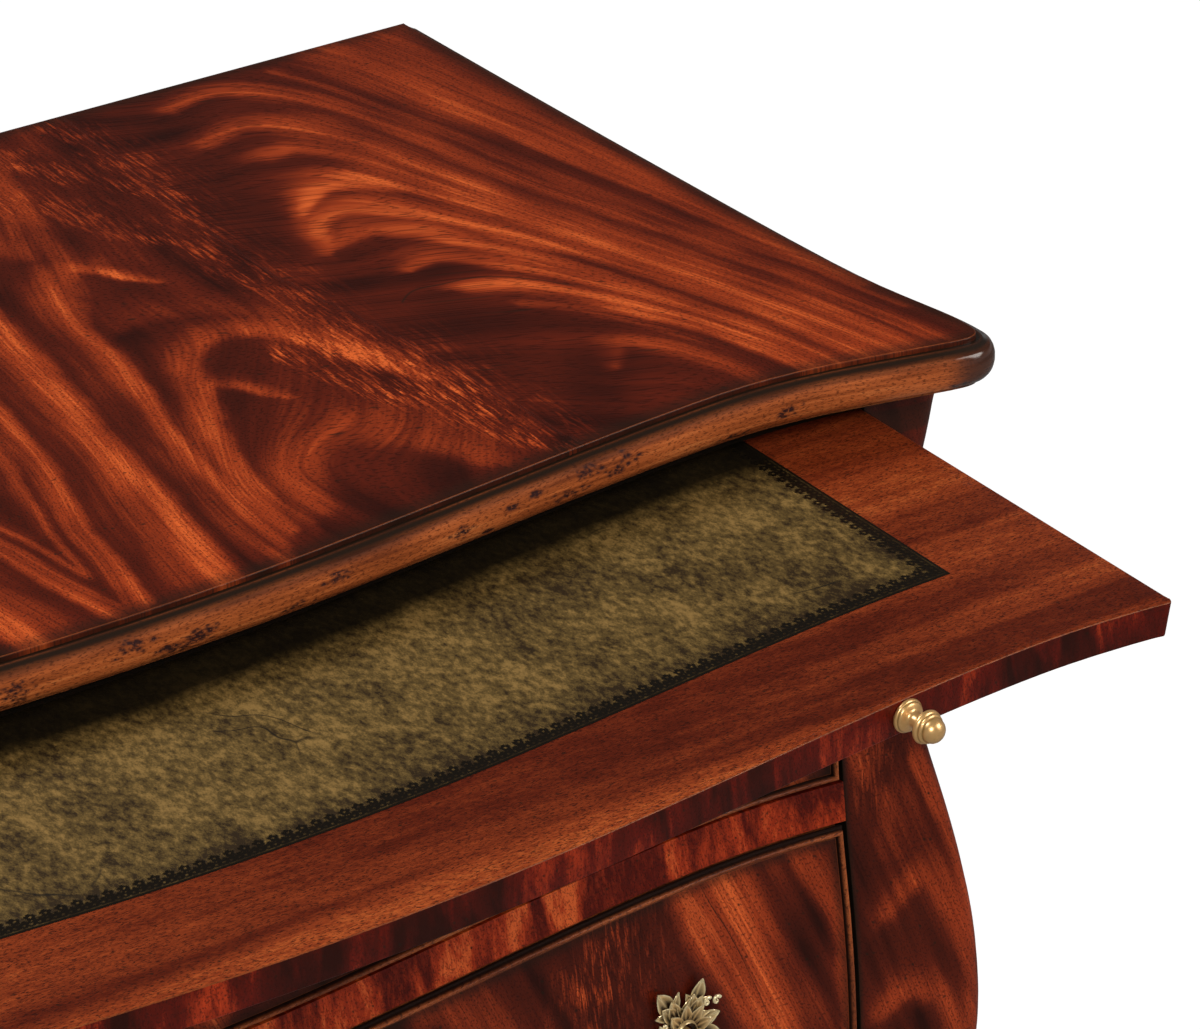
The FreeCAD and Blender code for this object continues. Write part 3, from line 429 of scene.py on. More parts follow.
LEFT_FLAMES = (
    (0.60, ((0, -100, 2), (12, -38, 2), (24, 20, 3), (36, 90, 3), (52, 180, 4), (80, 300, 5))),
    (0.80, ((8, -140, 4), (24, -56, 5), (37, 4, 5), (46, 56, 4), (58, 120, 4), (76, 210, 4),
            (98, 310, 4), (116, 400, 4))),
    (0.26, ((31, -134, 3), (46, -20, 3), (62, 60, 3), (76, 140, 3))),
    (0.92, ((54, -140, 9), (63, -68, 9), (72, -8, 8), (84, 64, 8), (93, 130, 7), (101, 180, 6),
            (112, 240, 6), (130, 320, 7), (150, 400, 8))),
    (0.30, ((80, -134, 3), (92, -20, 3), (104, 60, 3), (114, 120, 3))),
    (0.82, ((93, -140, 4), (99, -80, 5), (108, -14, 5), (120, 46, 5), (129, 100, 6),
            (136, 142, 7), (145, 178, 8), (157, 203, 8), (168, 202, 5), (181, 184, 3),
            (193, 165, 2))),
    (0.80, ((106, -118, 5), (116, -58, 7), (126, -14, 7), (138, 16, 6), (150, 48, 5),
            (163, 76, 6), (186, 90, 8), (207, 82, 8), (225, 58, 8), (240, 26, 7),
            (251, -14, 5))),
    (0.62, ((140, 8, 4), (150, 40, 5), (162, 38, 4), (172, 20, 3), (181, 6, 2))),
    (0.56, ((126, -104, 12), (142, -66, 15), (170, -42, 17), (196, -46, 17), (214, -76, 12),
            (226, -108, 9))),
    (0.34, ((141, 128, 8), (165, 136, 10), (195, 120, 10), (220, 96, 7))),
    (0.42, ((150, 250, 14), (165, 222, 12), (176, 206, 6))),
    (0.40, ((176, 400, 12), (186, 340, 12), (180, 300, 10), (160, 262, 8))))
# The plume where the two branches of the crotch meet, feathery and bright.
PLUMES = (
    (0.80, ((178, 294, 5), (192, 271, 5), (204, 250, 5), (216, 221, 4), (229, 200, 3))),
    (0.72, ((202, 350, 4), (216, 322, 5), (228, 301, 5), (240, 278, 4), (248, 258, 4))),
    (0.72, ((250, 376, 3), (254, 322, 6), (256, 280, 7), (254, 240, 5), (249, 205, 3))),
    (0.66, ((236, 190, 6), (238, 150, 7), (240, 118, 7), (247, 76, 5), (252, 44, 3))),
    (0.95, ((203, 50, 3), (216, 4, 4), (234, -44, 4), (254, -96, 4), (271, -126, 3))),
    (1.00, ((226, 56, 6), (242, 10, 8), (249, -32, 7), (255, -70, 4))),
    (0.95, ((266, -24, 2), (258, -48, 4))),
    (0.50, ((286, -66, 2), (283, -118, 2))))
# Points of the hairline check in the old veneer.
TOP_CHECK = ((288, 64), (300, 73), (320, 72), (344, 66), (366, 46), (380, 26))
# Levels of the two branches' grain, which their fine streaks follow.
LEFT_GRAIN = (
    (0, ((30, 52), (16, -14), (0, -86))), (24, ((98, 310), (46, 56), (24, -56), (8, -140))),
    (63, ((150, 400), (112, 240), (84, 64), (63, -68), (54, -140))),
    (99, ((157, 203), (136, 142), (108, -14), (93, -140))),
    (116, ((186, 90), (150, 48), (126, -14), (106, -118))),
    (150, ((196, -46), (170, -42), (142, -66))))
RIGHT_GRAIN = (
    (360, ((342, -62), (360, -41), (378, -62), (390, -98))),
    (393, ((331, 58), (354, 46), (375, 14), (393, -22), (409, -64), (424, -128))),
    (424, ((296, 142), (330, 182), (354, 160), (391, 92), (424, 2), (454, -126))),
    (457, ((312, 300), (342, 313), (384, 250), (409, 148), (457, -22), (484, -130))),
    (486, ((318, 355), (354, 364), (408, 268), (438, 136), (486, -56), (498, -130))),
    (508, ((396, 370), (423, 274), (450, 148), (495, -14), (510, -90))),
    (540, ((450, 330), (478, 160), (500, 0), (520, -80))))
# Flames of a drawer front: from its middle to its side, and from its mid height.
DRAWER_FLAMES = (
    (0.92, ((352, 110, 8), (360, 100, 9), (374, 66, 10), (391, 32, 10), (409, -10, 9),
            (420, -50, 8), (428, -100, 8))),
    (1.00, ((386, 110, 12), (388, 100, 12), (396, 74, 10), (407, 38, 8), (419, 0, 6),
            (430, -44, 6), (440, -100, 6))),
    (0.32, ((416, 40, 6), (430, 12, 6), (442, -20, 5), (450, -60, 5))),
    (0.63, ((432, 106, 5), (447, 76, 7), (458, 48, 6), (462, 10, 5), (464, -60, 4))),
    (0.53, ((181, 94, 9), (206, 78, 9), (228, 60, 7), (244, 30, 6), (252, -20, 6),
            (256, -90, 6))),
    (0.83, ((140, 50, 8), (176, 48, 10), (204, 20, 9), (220, -30, 8), (228, -100, 8))),
    (0.69, ((96, -10, 8), (130, 2, 10), (164, -20, 9), (184, -60, 8), (192, -104, 8))),
    (0.99, ((12, -100, 6), (22, -30, 7), (40, 30, 7), (62, 70, 7), (84, 106, 7))),
    (0.71, ((48, -104, 8), (58, -40, 8), (78, 10, 7), (96, 34, 6))),
    (0.48, ((306, -104, 12), (318, -60, 10), (322, -30, 6))))
DRAWER_PLUMES = (
    (0.85, ((310, 104, 6), (301, 76, 9), (289, 50, 8), (280, 30, 6), (270, -10, 5))),
    (0.50, ((288, 100, 4), (270, 58, 4), (262, 20, 3))),
    (0.60, ((118, 100, 4), (112, 60, 6), (104, 30, 5))))
DRAWER_CHECK = ((366, 110), (369, 104), (378, 82), (388, 62), (399, 34), (409, 6), (418, -24))
# Flames of a stile: from the drawers round the corner, and from the top drawer's foot.
STILE_FLAMES = (
    (0.62, ((44, 0, 4), (52, -16, 5), (64, -46, 6), (74, -84, 6), (76, -130, 6),
            (70, -200, 8), (60, -300, 8), (52, -400, 8), (50, -480, 8))),
    (0.53, ((4, 60, 4), (6, 30, 5), (10, 0, 4))),
    (0.65, ((20, -88, 5), (34, -74, 6), (48, -70, 7), (58, -84, 8), (70, -116, 6),
            (74, -150, 4))),
    (0.62, ((12, -152, 5), (28, -142, 6), (50, -150, 7), (64, -180, 7), (68, -220, 5))),
    (0.55, ((12, -260, 6), (30, -244, 7), (48, -262, 7), (56, -300, 6))),
    (0.58, ((10, -372, 6), (28, -356, 7), (44, -376, 7), (50, -420, 6))),
    (0.50, ((20, 180, 6), (36, 120, 7), (46, 60, 6), (50, 20, 5))),
    (0.38, ((30, -20, 8), (26, -50, 8))))
STILE_PLUMES = ((0.4, ((26, 60, 4), (20, 20, 5), (16, -20, 4))),
                (0.4, ((30, -190, 4), (20, -230, 4))))


class GrainField:
    """Smooth levels between given grain lines, as a thin plate bends over them."""
    slack = 900.0               # how far the plate may lie off its lines

    def __init__(self, lines):
        knots = [(x, y, level) for level, line in lines for x, y in line]
        self.knots = np.array([k[:2] for k in knots], float)
        levels = np.array([k[2] for k in knots], float)
        count = len(knots)
        plane = np.column_stack([np.ones(count), self.knots])
        stiff = self.bend(self.knots) + self.slack * np.eye(count)
        system = np.block([[stiff, plane], [plane.T, np.zeros((3, 3))]])
        self.weights = np.linalg.solve(system, np.concatenate([levels, np.zeros(3)]))

    def bend(self, points):
        square = ((points[:, None] - self.knots[None]) ** 2).sum(-1)
        return square * np.log(square + 1e-9) / 2

    def level(self, points):
        out = np.empty(len(points))
        for i in range(0, len(points), 8000):
            part = points[i:i + 8000]
            out[i:i + 8000] = (self.bend(part) @ self.weights[:-3] + self.weights[-3]
                               + part @ self.weights[-2:])
        return out


LEFT_FIELD = GrainField(LEFT_GRAIN)
RIGHT_FIELD = GrainField(RIGHT_GRAIN)


def ripple(x, y, scale, seed):
    """Smooth random waves between -1 and 1, from a few crossed sines."""
    rng = np.random.default_rng(seed)
    total = np.zeros_like(x)
    for _ in range(7):
        angle, phase = rng.uniform(0, 2 * math.pi, 2)
        wave = scale * rng.uniform(0.6, 1.8)
        total += np.sin(2 * math.pi * (x * math.cos(angle) + y * math.sin(angle)) / wave + phase)
    return total / 4.2


def band_glow(points, band):
    """How near points lie to a smooth band, from 1 on its middle to 0 outside it."""
    knots = np.array(band, float)
    at = np.arange(len(knots))
    fine = np.linspace(0, len(knots) - 1, 4 * len(knots) - 3)
    line = np.stack([smooth_curve(at, knots[:, k], fine) for k in range(3)], -1)
    reach = 5 * knots[:, 2].max()
    low, high = line[:, :2].min(0) - reach, line[:, :2].max(0) + reach
    near = np.all((points > low) & (points < high), axis=1)
    part = points[near]
    best = np.zeros(len(part))
    for p, q in zip(line, line[1:]):
        d = q[:2] - p[:2]
        t = np.clip(((part - p[:2]) @ d) / max(d @ d, 1e-9), 0, 1)
        gap = np.linalg.norm(part - (p[:2] + t[:, None] * d), axis=1)
        half = p[2] + t * (q[2] - p[2])
        outer = (d[0] * (part[:, 1] - p[1]) - d[1] * (part[:, 0] - p[0])) > 0
        reach = gap / (half * np.where(outer, 1.7, 1.05))
        best = np.maximum(best, 0.82 * np.exp(-0.8 * reach ** np.where(outer, 1.8, 3.2))
                          + 0.18 * np.exp(-0.3 * reach ** 2))
    glow = np.zeros(len(points))
    glow[near] = best
    return glow


def flames(points, bands):
    """The brightest of several bands at each point."""
    light = np.zeros(len(points))
    for strength, band in bands:
        light = np.maximum(light, strength * band_glow(points, band))
    return light


def height_over(line, x, y):
    """Height over a hairline check, in millimetres, and far off outside its run."""
    line = np.array(line, float)
    order = np.argsort(line[:, 0])
    at = smooth_curve(line[order, 0], line[order, 1], x)
    return np.where((x > line[:, 0].min()) & (x < line[:, 0].max()), y - at, 90.0)


def veneer_marks(x, y, bands, plumes, check, across, along):
    """The figure's vector, and the plume and check, at points of a leaf in millimetres."""
    points = np.column_stack([x + 2.4 * ripple(x, y, 90, 3) + 0.8 * ripple(x, y, 13, 4),
                              y + 3.0 * ripple(x, y, 110, 5) + 0.8 * ripple(x, y, 13, 6)])
    light = flames(points, bands)
    light *= 0.84 + 0.16 * ripple(x, y, 70, 8) + 0.26 * ripple(across, 0.03 * along, 6, 11)
    ground = 0.15 + 0.07 * ripple(x, y, 85, 9) + 0.08 * ripple(across, 0.05 * along, 14, 10)
    light = ground + light * (1 - ground)
    wide = [(strength, [(a, b, 2.0 * c) for a, b, c in band]) for strength, band in plumes]
    plume = flames(points, wide) * (0.8 + 0.4 * ripple(x, y, 30, 12))
    figure = np.column_stack([across * MM, along * MM, np.clip(light, 0, 1)])
    return figure, np.column_stack([np.clip(plume, 0, 1), height_over(check, x, y) * MM])


def crotch_figure(x, y):
    """Marks of the top's leaves, mirrored at their joint."""
    side = np.abs(x)
    points = np.column_stack([side, y])
    middle = smooth_curve((-400, -130, 60, 130, 262, 400, 700),
                          (285, 276, 262, 252, 256, 262, 270), y)
    across = np.where(side > middle, RIGHT_FIELD.level(points) + 400, LEFT_FIELD.level(points))
    return veneer_marks(side, y, LEFT_FLAMES + RIGHT_FLAMES, PLUMES, TOP_CHECK, across,
                        y + 0.4 * side)


def drawer_figure(x, y):
    """Marks of a drawer front, mirrored at its middle."""
    side = np.abs(x)
    return veneer_marks(side, y, DRAWER_FLAMES, DRAWER_PLUMES, DRAWER_CHECK,
                        side + 0.42 * y, y)


def stile_figure(x, y):
    """Marks of the leaf bent round a stile."""
    return veneer_marks(x, y, STILE_FLAMES, STILE_PLUMES, DRAWER_CHECK, x + 0.35 * y, y)


# ---- Finishes -------------------------------------------------------------------------
def add_node(tree, kind, inputs=None, stops=None, **settings):
    """A node with its settings. Inputs are values, or sockets to link from."""
    node = tree.nodes.new(kind)
    for name, value in settings.items():
        setattr(node, name, value)
    for name, value in (inputs or {}).items():
        if isinstance(value, bpy.types.NodeSocket):
            tree.links.new(value, node.inputs[name])
        else:
            node.inputs[name].default_value = value
    if stops:
        elements = node.color_ramp.elements
        while len(elements) > 1:
            elements.remove(elements[-1])
        elements[0].position, elements[0].color = stops[0]
        for position, shade in stops[1:]:
            elements.new(position).color = shade
    return node


def object_place(tree):
    return add_node(tree, "ShaderNodeTexCoord").outputs["Object"]


def stored(tree, name):
    """A number stored on the mesh."""
    return add_node(tree, "ShaderNodeAttribute", attribute_name=name).outputs["Fac"]


def stored_vector(tree, name):
    """A vector stored on the mesh, then its three numbers."""
    vector = add_node(tree, "ShaderNodeAttribute", attribute_name=name).outputs["Vector"]
    return (vector, *add_node(tree, "ShaderNodeSeparateXYZ", {0: vector}).outputs)


def noise(tree, place, scale, detail=2.0, roughness=0.5, distortion=0.0, turn=0.0):
    """Noise at a place. Three scales stretch the place first, and turn it about its Z."""
    if isinstance(scale, tuple):
        place = add_node(tree, "ShaderNodeMapping",
                         {"Vector": place, "Scale": scale, "Rotation": (0, 0, turn)}).outputs[0]
        scale = 1.0
    return add_node(tree, "ShaderNodeTexNoise",
                    {"Vector": place, "Scale": scale, "Detail": detail, "Roughness": roughness,
                     "Distortion": distortion}).outputs[0]


def cells(tree, place, scale, **settings):
    """Distance within Voronoi cells at a place."""
    return add_node(tree, "ShaderNodeTexVoronoi", {"Vector": place, "Scale": scale},
                    **settings).outputs[0]


def ranged(tree, value, low, high, least=0.0, most=1.0, **settings):
    """A value carried from low and high to least and most, and clamped there."""
    return add_node(tree, "ShaderNodeMapRange",
                    {"Value": value, "From Min": low, "From Max": high, "To Min": least,
                     "To Max": most}, **settings).outputs[0]


def sums(tree, operation, *values, **settings):
    """A sum, product or the like of up to three values."""
    return add_node(tree, "ShaderNodeMath", dict(enumerate(values)), operation=operation,
                    **settings).outputs[0]


def ramp(tree, value, stops):
    return add_node(tree, "ShaderNodeValToRGB", {"Fac": value}, stops=stops).outputs[0]


def laid_over(tree, share, under, over):
    """A colour laid over another by a share."""
    return add_node(tree, "ShaderNodeMix", {0: share, 6: under, 7: over},
                    data_type="RGBA").outputs[2]


def bump(tree, height, strength, distance, **settings):
    """Normals of a relief whose distance is in metres."""
    return add_node(tree, "ShaderNodeBump", {"Height": height, "Strength": strength,
                                             "Distance": distance}, **settings).outputs[0]


def finish(name):
    """Names the finish that a function's nodes give, and builds it once."""
    def wrap(build):
        def get():
            found = bpy.data.materials.get(name)
            if found is None:
                found = bpy.data.materials.new(name)
                found.use_nodes = True
                found.node_tree.nodes.clear()
                shader = build(found.node_tree, bpy.context.scene.chest)
                add_node(found.node_tree, "ShaderNodeOutputMaterial", {"Surface": shader})
            return found
        return get
    return wrap


def polished_wood(tree, s, place, light, shades, dirt_and_shade=None, roughness=0.42, coat=0.12,
                  flecks=None, pore_scale=(1300, 420, 700), pore_share=0.72, overlay=None):
    """Shader of polished mahogany. place is metres across and along the grain, and light
    runs from 0 in the dark of the figure to 1 in its flame. dirt_and_shade is a share of old wax
    and painted shade, flecks the share of the plume's bright strokes, and overlay a share and
    the colour that shows there: worm marks, or a pale arris rubbed and lit as a painted highlight.

    Mahogany pores are 0.2 mm wide. They are drawn about 0.5 mm wide, so that they show."""
    streak = ranged(tree, noise(tree, place, (620, 13, 300), 4.0, 0.62), 0.3, 0.72, 0.62, 1.2)
    cloud = sums(tree, "MULTIPLY_ADD", noise(tree, place, (95, 14, 60), 3.0), 0.34, -0.17)
    value = sums(tree, "ADD", sums(tree, "MULTIPLY", light, streak), cloud)
    if flecks is not None:
        strokes = noise(tree, swizzled(tree, (1, 0, 0), (0, 1, 1)), (480, 46, 0), 4.0, 0.62,
                        0.8, turn=0.12)
        bright = ranged(tree, strokes, 0.47, 0.68, 0.04, 0.95)
        value = sums(tree, "ADD", value, sums(tree, "MULTIPLY", bright, flecks))
    surface = ramp(tree, value, list(zip((0.02, 0.28, 0.62, 0.98), shades)))
    pores = ranged(tree, noise(tree, place, pore_scale), 0.54, 0.61, 0.0, pore_share)
    specks = ranged(tree, cells(tree, place, 95.0), 0.12, 0.05, 0.0, 0.75)
    layers = [(pores, shades[0]), (specks, s.dirt_and_shade), (dirt_and_shade, s.dirt_and_shade), overlay or (None, None)]
    for share, shade in layers:
        if share is not None:
            surface = laid_over(tree, share, surface, shade)
    rough = ranged(tree, pores, 0.0, 1.0, roughness, roughness + 0.2)
    relief = bump(tree, pores, 0.35, 0.1 * MM, invert=True)
    return add_node(tree, "ShaderNodeBsdfPrincipled",
                    {"Base Color": surface, "Roughness": rough, "Normal": relief, "IOR": 1.5,
                     "Specular IOR Level": 0.08, "Coat Weight": coat,
                     "Coat Roughness": 0.14}).outputs[0]


def swizzled(tree, across, along):
    """Metres across and along the grain, from weights of the place on the row's axes."""
    depth = (0.6, 0.7, 0.5)
    rows = [add_node(tree, "ShaderNodeVectorMath", {0: object_place(tree), 1: weights},
                     operation="DOT_PRODUCT").outputs["Value"]
            for weights in (across, along, depth)]
    return add_node(tree, "ShaderNodeCombineXYZ", dict(enumerate(rows))).outputs[0]


def solid_shades(s):
    return s.solid_dark, s.solid_deep, s.solid_ground, s.solid_light


@finish("crotch_mahogany_french_polished")
def crotch_mahogany(tree, s):
    """Crotch mahogany veneer, book-matched and French polished: dark red wood with orange
    flames, black pores and a rubbed, darker border."""
    _, across, along, light = stored_vector(tree, "figure")
    _, edge, plume, gap = stored_vector(tree, "wear_and_shade")
    place = add_node(tree, "ShaderNodeCombineXYZ", {0: across, 1: along}).outputs[0]
    # A pale line on the eased arris, rubbed pale and lightened as a painted highlight.
    overlay = sums(tree, "MULTIPLY", ranged(tree, edge, 0.8 * MM, 0.5 * MM, 0.0, 0.6),
               ranged(tree, edge, 0.1 * MM, 0.4 * MM))
    overlay = sums(tree, "MULTIPLY", overlay, noise(tree, place, 45.0, 4.0))
    # On the stiles the edge distance also carries a painted shadow band under the top.
    border = ranged(tree, edge, 0.0, s.burnish, 0.6, 0.0, interpolation_type="SMOOTHERSTEP")
    check = ranged(tree, sums(tree, "ABSOLUTE", gap), 1.1 * MM, 0.4 * MM, 0.0, 0.7)
    return polished_wood(tree, s, place, light,
                         (s.veneer_dark, s.veneer_deep, s.veneer_warm, s.veneer_bright),
                         dirt_and_shade=sums(tree, "MAXIMUM", border, check), flecks=plume,
                         overlay=(overlay, s.solid_ground), pore_scale=(900, 560, 700), pore_share=0.6)


@finish("crossbanded_mahogany_polished")
def crossbanded_mahogany(tree, s):
    """Cross-banded mahogany: short upright grain, so red and black bars stand side by side."""
    return banded_wood(tree, s, 0.34, 1.15)


@finish("crossbanded_mahogany_lipping")
def dark_banding(tree, s):
    """The slide's cross-banded edge, a darker copy of the banding: deep red, with few bright bars."""
    return banded_wood(tree, s, 0.05, 0.56)


def banded_wood(tree, s, least, most):
    """Shader of cross-banding between two levels of the figure's light."""
    place = swizzled(tree, (1, 0.3, 0), (0, 0, 1))
    bars = noise(tree, place, (34, 8, 0), 3.0, 0.55, 0.9, turn=0.25)
    low = ranged(tree, noise(tree, place, 9.0), 0.35, 0.65, 0.5, 0.3)
    return polished_wood(tree, s, place, ranged(tree, bars, low, 0.7, least, most),
                         (s.veneer_dark, s.band_deep, s.band_warm, s.veneer_bright),
                         pore_scale=(1000, 600, 700), pore_share=0.55)


@finish("straight_grain_mahogany_satin")
def straight_mahogany(tree, s):
    """Quarter-sawn mahogany, satin polished: red-brown, with fine dark pores along the board."""
    place = swizzled(tree, (0, 1, 1), (1, 0, 0))
    light = ranged(tree, noise(tree, place, (42, 1.2, 1), 3.0), 0.36, 0.66, 0.32, 0.84)
    return polished_wood(tree, s, place, light,
                         (s.veneer_dark, s.straight_dark, s.straight_ground, s.straight_light),
                         roughness=0.38, pore_scale=(1800, 230, 700), pore_share=0.8)


@finish("solid_mahogany_distressed")
def solid_mahogany(tree, s):
    """Solid mahogany, worm-marked and waxed: orange-brown, with old wax and painted shade in its quirk and
    grooves, painted shade under it, and old wax in its dents.
    """
    place, _, _, light = stored_vector(tree, "figure")
    _, dirt_and_shade, spots, shine = stored_vector(tree, "wear_and_shade")
    ragged = ranged(tree, noise(tree, place, (900, 500, 0), 3.0, 0.7), 0.34, 0.44)
    marks = sums(tree, "MULTIPLY", ragged, spots, use_clamp=True)
    return polished_wood(tree, s, place, light, solid_shades(s), dirt_and_shade=dirt_and_shade, roughness=0.55,
                         coat=shine, pore_scale=(1300, 330, 0), pore_share=0.7,
                         overlay=(marks, s.worm))


@finish("mahogany_arris_rubbed_and_highlit")
def rubbed_highlit_mahogany(tree, s):
    """Mahogany rubbed pale along an eased arris, where hands and cloths have worn it, and lightened further as a
    painted highlight.
    """
    return polished_wood(tree, s, swizzled(tree, (0, 1, 1), (1, 0, 0)), 0.3, solid_shades(s),
                         roughness=0.34)


@finish("mahogany_painted_shade")
def shade_painted_mahogany(tree, s):
    """Near-black mahogany as painted shade: on the rail that lies in the top's shadow and on the
    edges of the boards beside the drawers."""
    return polished_wood(tree, s, swizzled(tree, (0, 1, 1), (1, 0, 0)), 0.25,
                         (s.dirt_and_shade, s.tooling_ink_and_shade, s.veneer_dark, s.solid_dark),
                         roughness=0.6, coat=0.0)


@finish("solid_mahogany_polished")
def plain_mahogany(tree, s):
    """Solid mahogany of the base and boards, polished: long grain along each piece."""
    place = swizzled(tree, (0, 0, 1), (0.8, 0.6, 0))
    light = ranged(tree, noise(tree, place, (60, 3, 1), 3.0), 0.3, 0.7, 0.2, 0.75)
    grime_and_shadow = ranged(tree, noise(tree, place, 26.0, 5.0, 0.65), 0.46, 0.72, 0.0, 0.6)
    return polished_wood(tree, s, place, light, solid_shades(s), dirt_and_shade=grime_and_shadow)


@finish("stained_hardwood_waxed")
def inside_wood(tree, s):
    """Plain hardwood inside the chest, stained and waxed: dull brown, with open grain."""
    place = swizzled(tree, (0, 0.7, 1), (1, 0.3, 0))
    bands = noise(tree, place, (48, 2.2, 1), 4.0, distortion=0.4)
    return polished_wood(tree, s, place, ranged(tree, bands, 0.32, 0.68, 0.35, 0.9),
                         (s.solid_dark, s.inside_dark, s.inside, s.solid_light),
                         roughness=0.62, coat=0.0, pore_scale=(1300, 120, 0), pore_share=0.4)


@finish("aniline_leather_tooled")
def tooled_leather(tree, s):
    """Aniline leather, rubbed olive with dark clouds and creases, a burnt-in border, and the top's shadow painted
    along its back.
    """
    place = object_place(tree)
    stretched = add_node(tree, "ShaderNodeMapping", {"Vector": place, "Scale": (1.1, 0.65, 1),
                                                     "Rotation": (0, 0, 0.6)}).outputs[0]
    fine = noise(tree, stretched, 240.0, 5.0, 0.8)
    tone = sums(tree, "MULTIPLY_ADD", noise(tree, stretched, 30.0, 7.0, 0.72), 0.5,
                sums(tree, "MULTIPLY_ADD", fine, 0.5, -0.012))
    tone = sums(tree, "MULTIPLY_ADD", stored(tree, "wear_and_shade"), -0.075, tone)
    hide = ramp(tree, tone, [(0.38, s.leather_dark), (0.49, s.leather_ground),
                             (0.60, s.leather_light)])
    warp = add_node(tree, "ShaderNodeTexNoise", {"Vector": place, "Scale": 14.0})
    bent = add_node(tree, "ShaderNodeVectorMath", {0: warp.outputs["Color"], 1: (0.16, 0.16, 0),
                                                   2: place}, operation="MULTIPLY_ADD").outputs[0]
    thin = ranged(tree, cells(tree, bent, 9.0, feature="DISTANCE_TO_EDGE"), 0.012, 0.0)
    rare = ranged(tree, noise(tree, place, 17.0, 1.0), 0.58, 0.66)
    creased = laid_over(tree, sums(tree, "MULTIPLY", thin, rare), hide, s.tooling_ink_and_shade)
    # This attribute carries the burnt-in border and the painted shadow of the top.
    tooling_and_shadow = stored(tree, "tooling_and_shadow")
    pebble = sums(tree, "MULTIPLY_ADD", cells(tree, place, 900.0), -0.5, fine)
    return add_node(tree, "ShaderNodeBsdfPrincipled",
                    {"Base Color": laid_over(tree, tooling_and_shadow, creased, s.tooling_ink_and_shade),
                     "Roughness": ranged(tree, tooling_and_shadow, 0.0, 1.0, 0.62, 0.3), "IOR": 1.45,
                     "Specular IOR Level": 0.2,
                     "Normal": bump(tree, pebble, 0.4, 0.3 * MM)}).outputs[0]


def aged_brass(tree, s, pale, worn, polish, metal):
    """Shader of lacquered brass. Its attribute "recess" says where tarnish and old wax lie."""
    tarnish = noise(tree, object_place(tree), 380.0, 4.0, 0.65)
    spots = ranged(tree, tarnish, 0.46, 0.74, 0.0, 0.14)
    dull = sums(tree, "ADD", spots, stored(tree, "recess"), use_clamp=True)
    return add_node(tree, "ShaderNodeBsdfPrincipled",
                    {"Base Color": ramp(tree, dull, [(0.0, pale), (0.5, worn),
                                                     (1.0, s.brass_dark)]),
                     "Roughness": ranged(tree, dull, 0.0, 1.0, polish, polish + 0.25),
                     "Metallic": metal, "Normal": bump(tree, tarnish, 0.15, 0.2 * MM),
                     "Coat Weight": 0.8, "Coat Roughness": 0.12}).outputs[0]


@finish("brass_turned_lacquered")
def turned_brass(tree, s):
    """Turned brass, antiqued and lacquered: satin brown gold with soft highlights."""
    return aged_brass(tree, s, s.brass, s.brass_worn, 0.34, 0.66)


@finish("brass_cast_rubbed")
def cast_brass(tree, s):
    """Cast brass, darkened and rubbed back: pale on its ridges, black-brown in between."""
    return aged_brass(tree, s, s.cast_brass, s.cast_worn, 0.22, 0.5)


@finish("steel_screws_turned")
def screw_steel(tree, s):
    """Plain turned steel: grey, a little dull, with fine rings."""
    ring = noise(tree, object_place(tree), 900.0, 3.0)
    return add_node(tree, "ShaderNodeBsdfPrincipled",
                    {"Base Color": ramp(tree, ring, [(0.3, s.steel_dark), (0.7, s.steel)]),
                     "Roughness": ranged(tree, ring, 0.0, 1.0, 0.35, 0.55),
                     "Metallic": 1.0}).outputs[0]


@finish("studio_floor_painted")
def studio_floor(tree, s):
    """Painted studio floor: matt and pale, with the light's fall-off hidden from the eye."""
    grain = noise(tree, object_place(tree), 60.0)
    paint = add_node(tree, "ShaderNodeBsdfDiffuse",
                     {"Color": s.floor, "Normal": bump(tree, grain, 0.05, 1 * MM)})
    path = add_node(tree, "ShaderNodeLightPath").outputs
    glow = add_node(tree, "ShaderNodeEmission",
                    {"Color": (1, 1, 1, 1),
                     "Strength": ranged(tree, path["Is Glossy Ray"], 0.0, 1.0, 1.1, 0.1)})
    seen = sums(tree, "MAXIMUM", path["Is Camera Ray"], path["Is Glossy Ray"])
    seen = sums(tree, "MAXIMUM", seen, path["Is Transmission Ray"])
    return add_node(tree, "ShaderNodeMixShader",
                    {0: sums(tree, "MULTIPLY", seen, 0.86), 1: paint.outputs[0],
                     2: glow.outputs[0]}).outputs[0]


# ---- Top ------------------------------------------------------------------------------
def top_panel(s):
    """The book-matched top: two mirrored leaves of crotch veneer on an eased board."""
    low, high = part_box("top_panel")
    outline = outline_of("top_panel", high.z, s.leaf_grid)
    mesh = flat_board("top_board", outline, high.z, low.z, s.arris, s.leaf_grid)
    points = points_of(mesh)
    figure, marks = crotch_figure(points[:, 0] / MM, points[:, 1] / MM)
    store(mesh, "figure", figure)
    store(mesh, "wear_and_shade", np.column_stack([edge_distance(points[:, :2], outline), marks]))
    finish_piece(mesh, "case", "top_panel", crotch_mahogany())


def moulding_section(node, point, out):
    """Section of a moulding seen from outside at one place, as (out, height) downward."""
    tree = tree_of(node)
    low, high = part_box(node)
    out = Vector((*out, 0))
    point = Vector((*point, 0))
    section = []
    for reach in np.arange(0.3, 12, 0.5) * MM:
        start = point + out * reach + Vector((0, 0, high.z + 0.01))
        hit = tree.ray_cast(start, Vector((0, 0, -1)), 0.02)[0]
        if hit is None:
            break
        section.append((reach, hit.z))
    for level in np.linspace(section[-1][1] - 0.4 * MM, low.z + 0.3 * MM, 20):
        start = point + out * 0.03 + Vector((0, 0, level))
        hit = tree.ray_cast(start, -out, 0.06)[0]
        if hit is not None:
            section.append(((hit - point).dot(out), level))
    section.append((section[-1][0], low.z))
    return np.array(section)


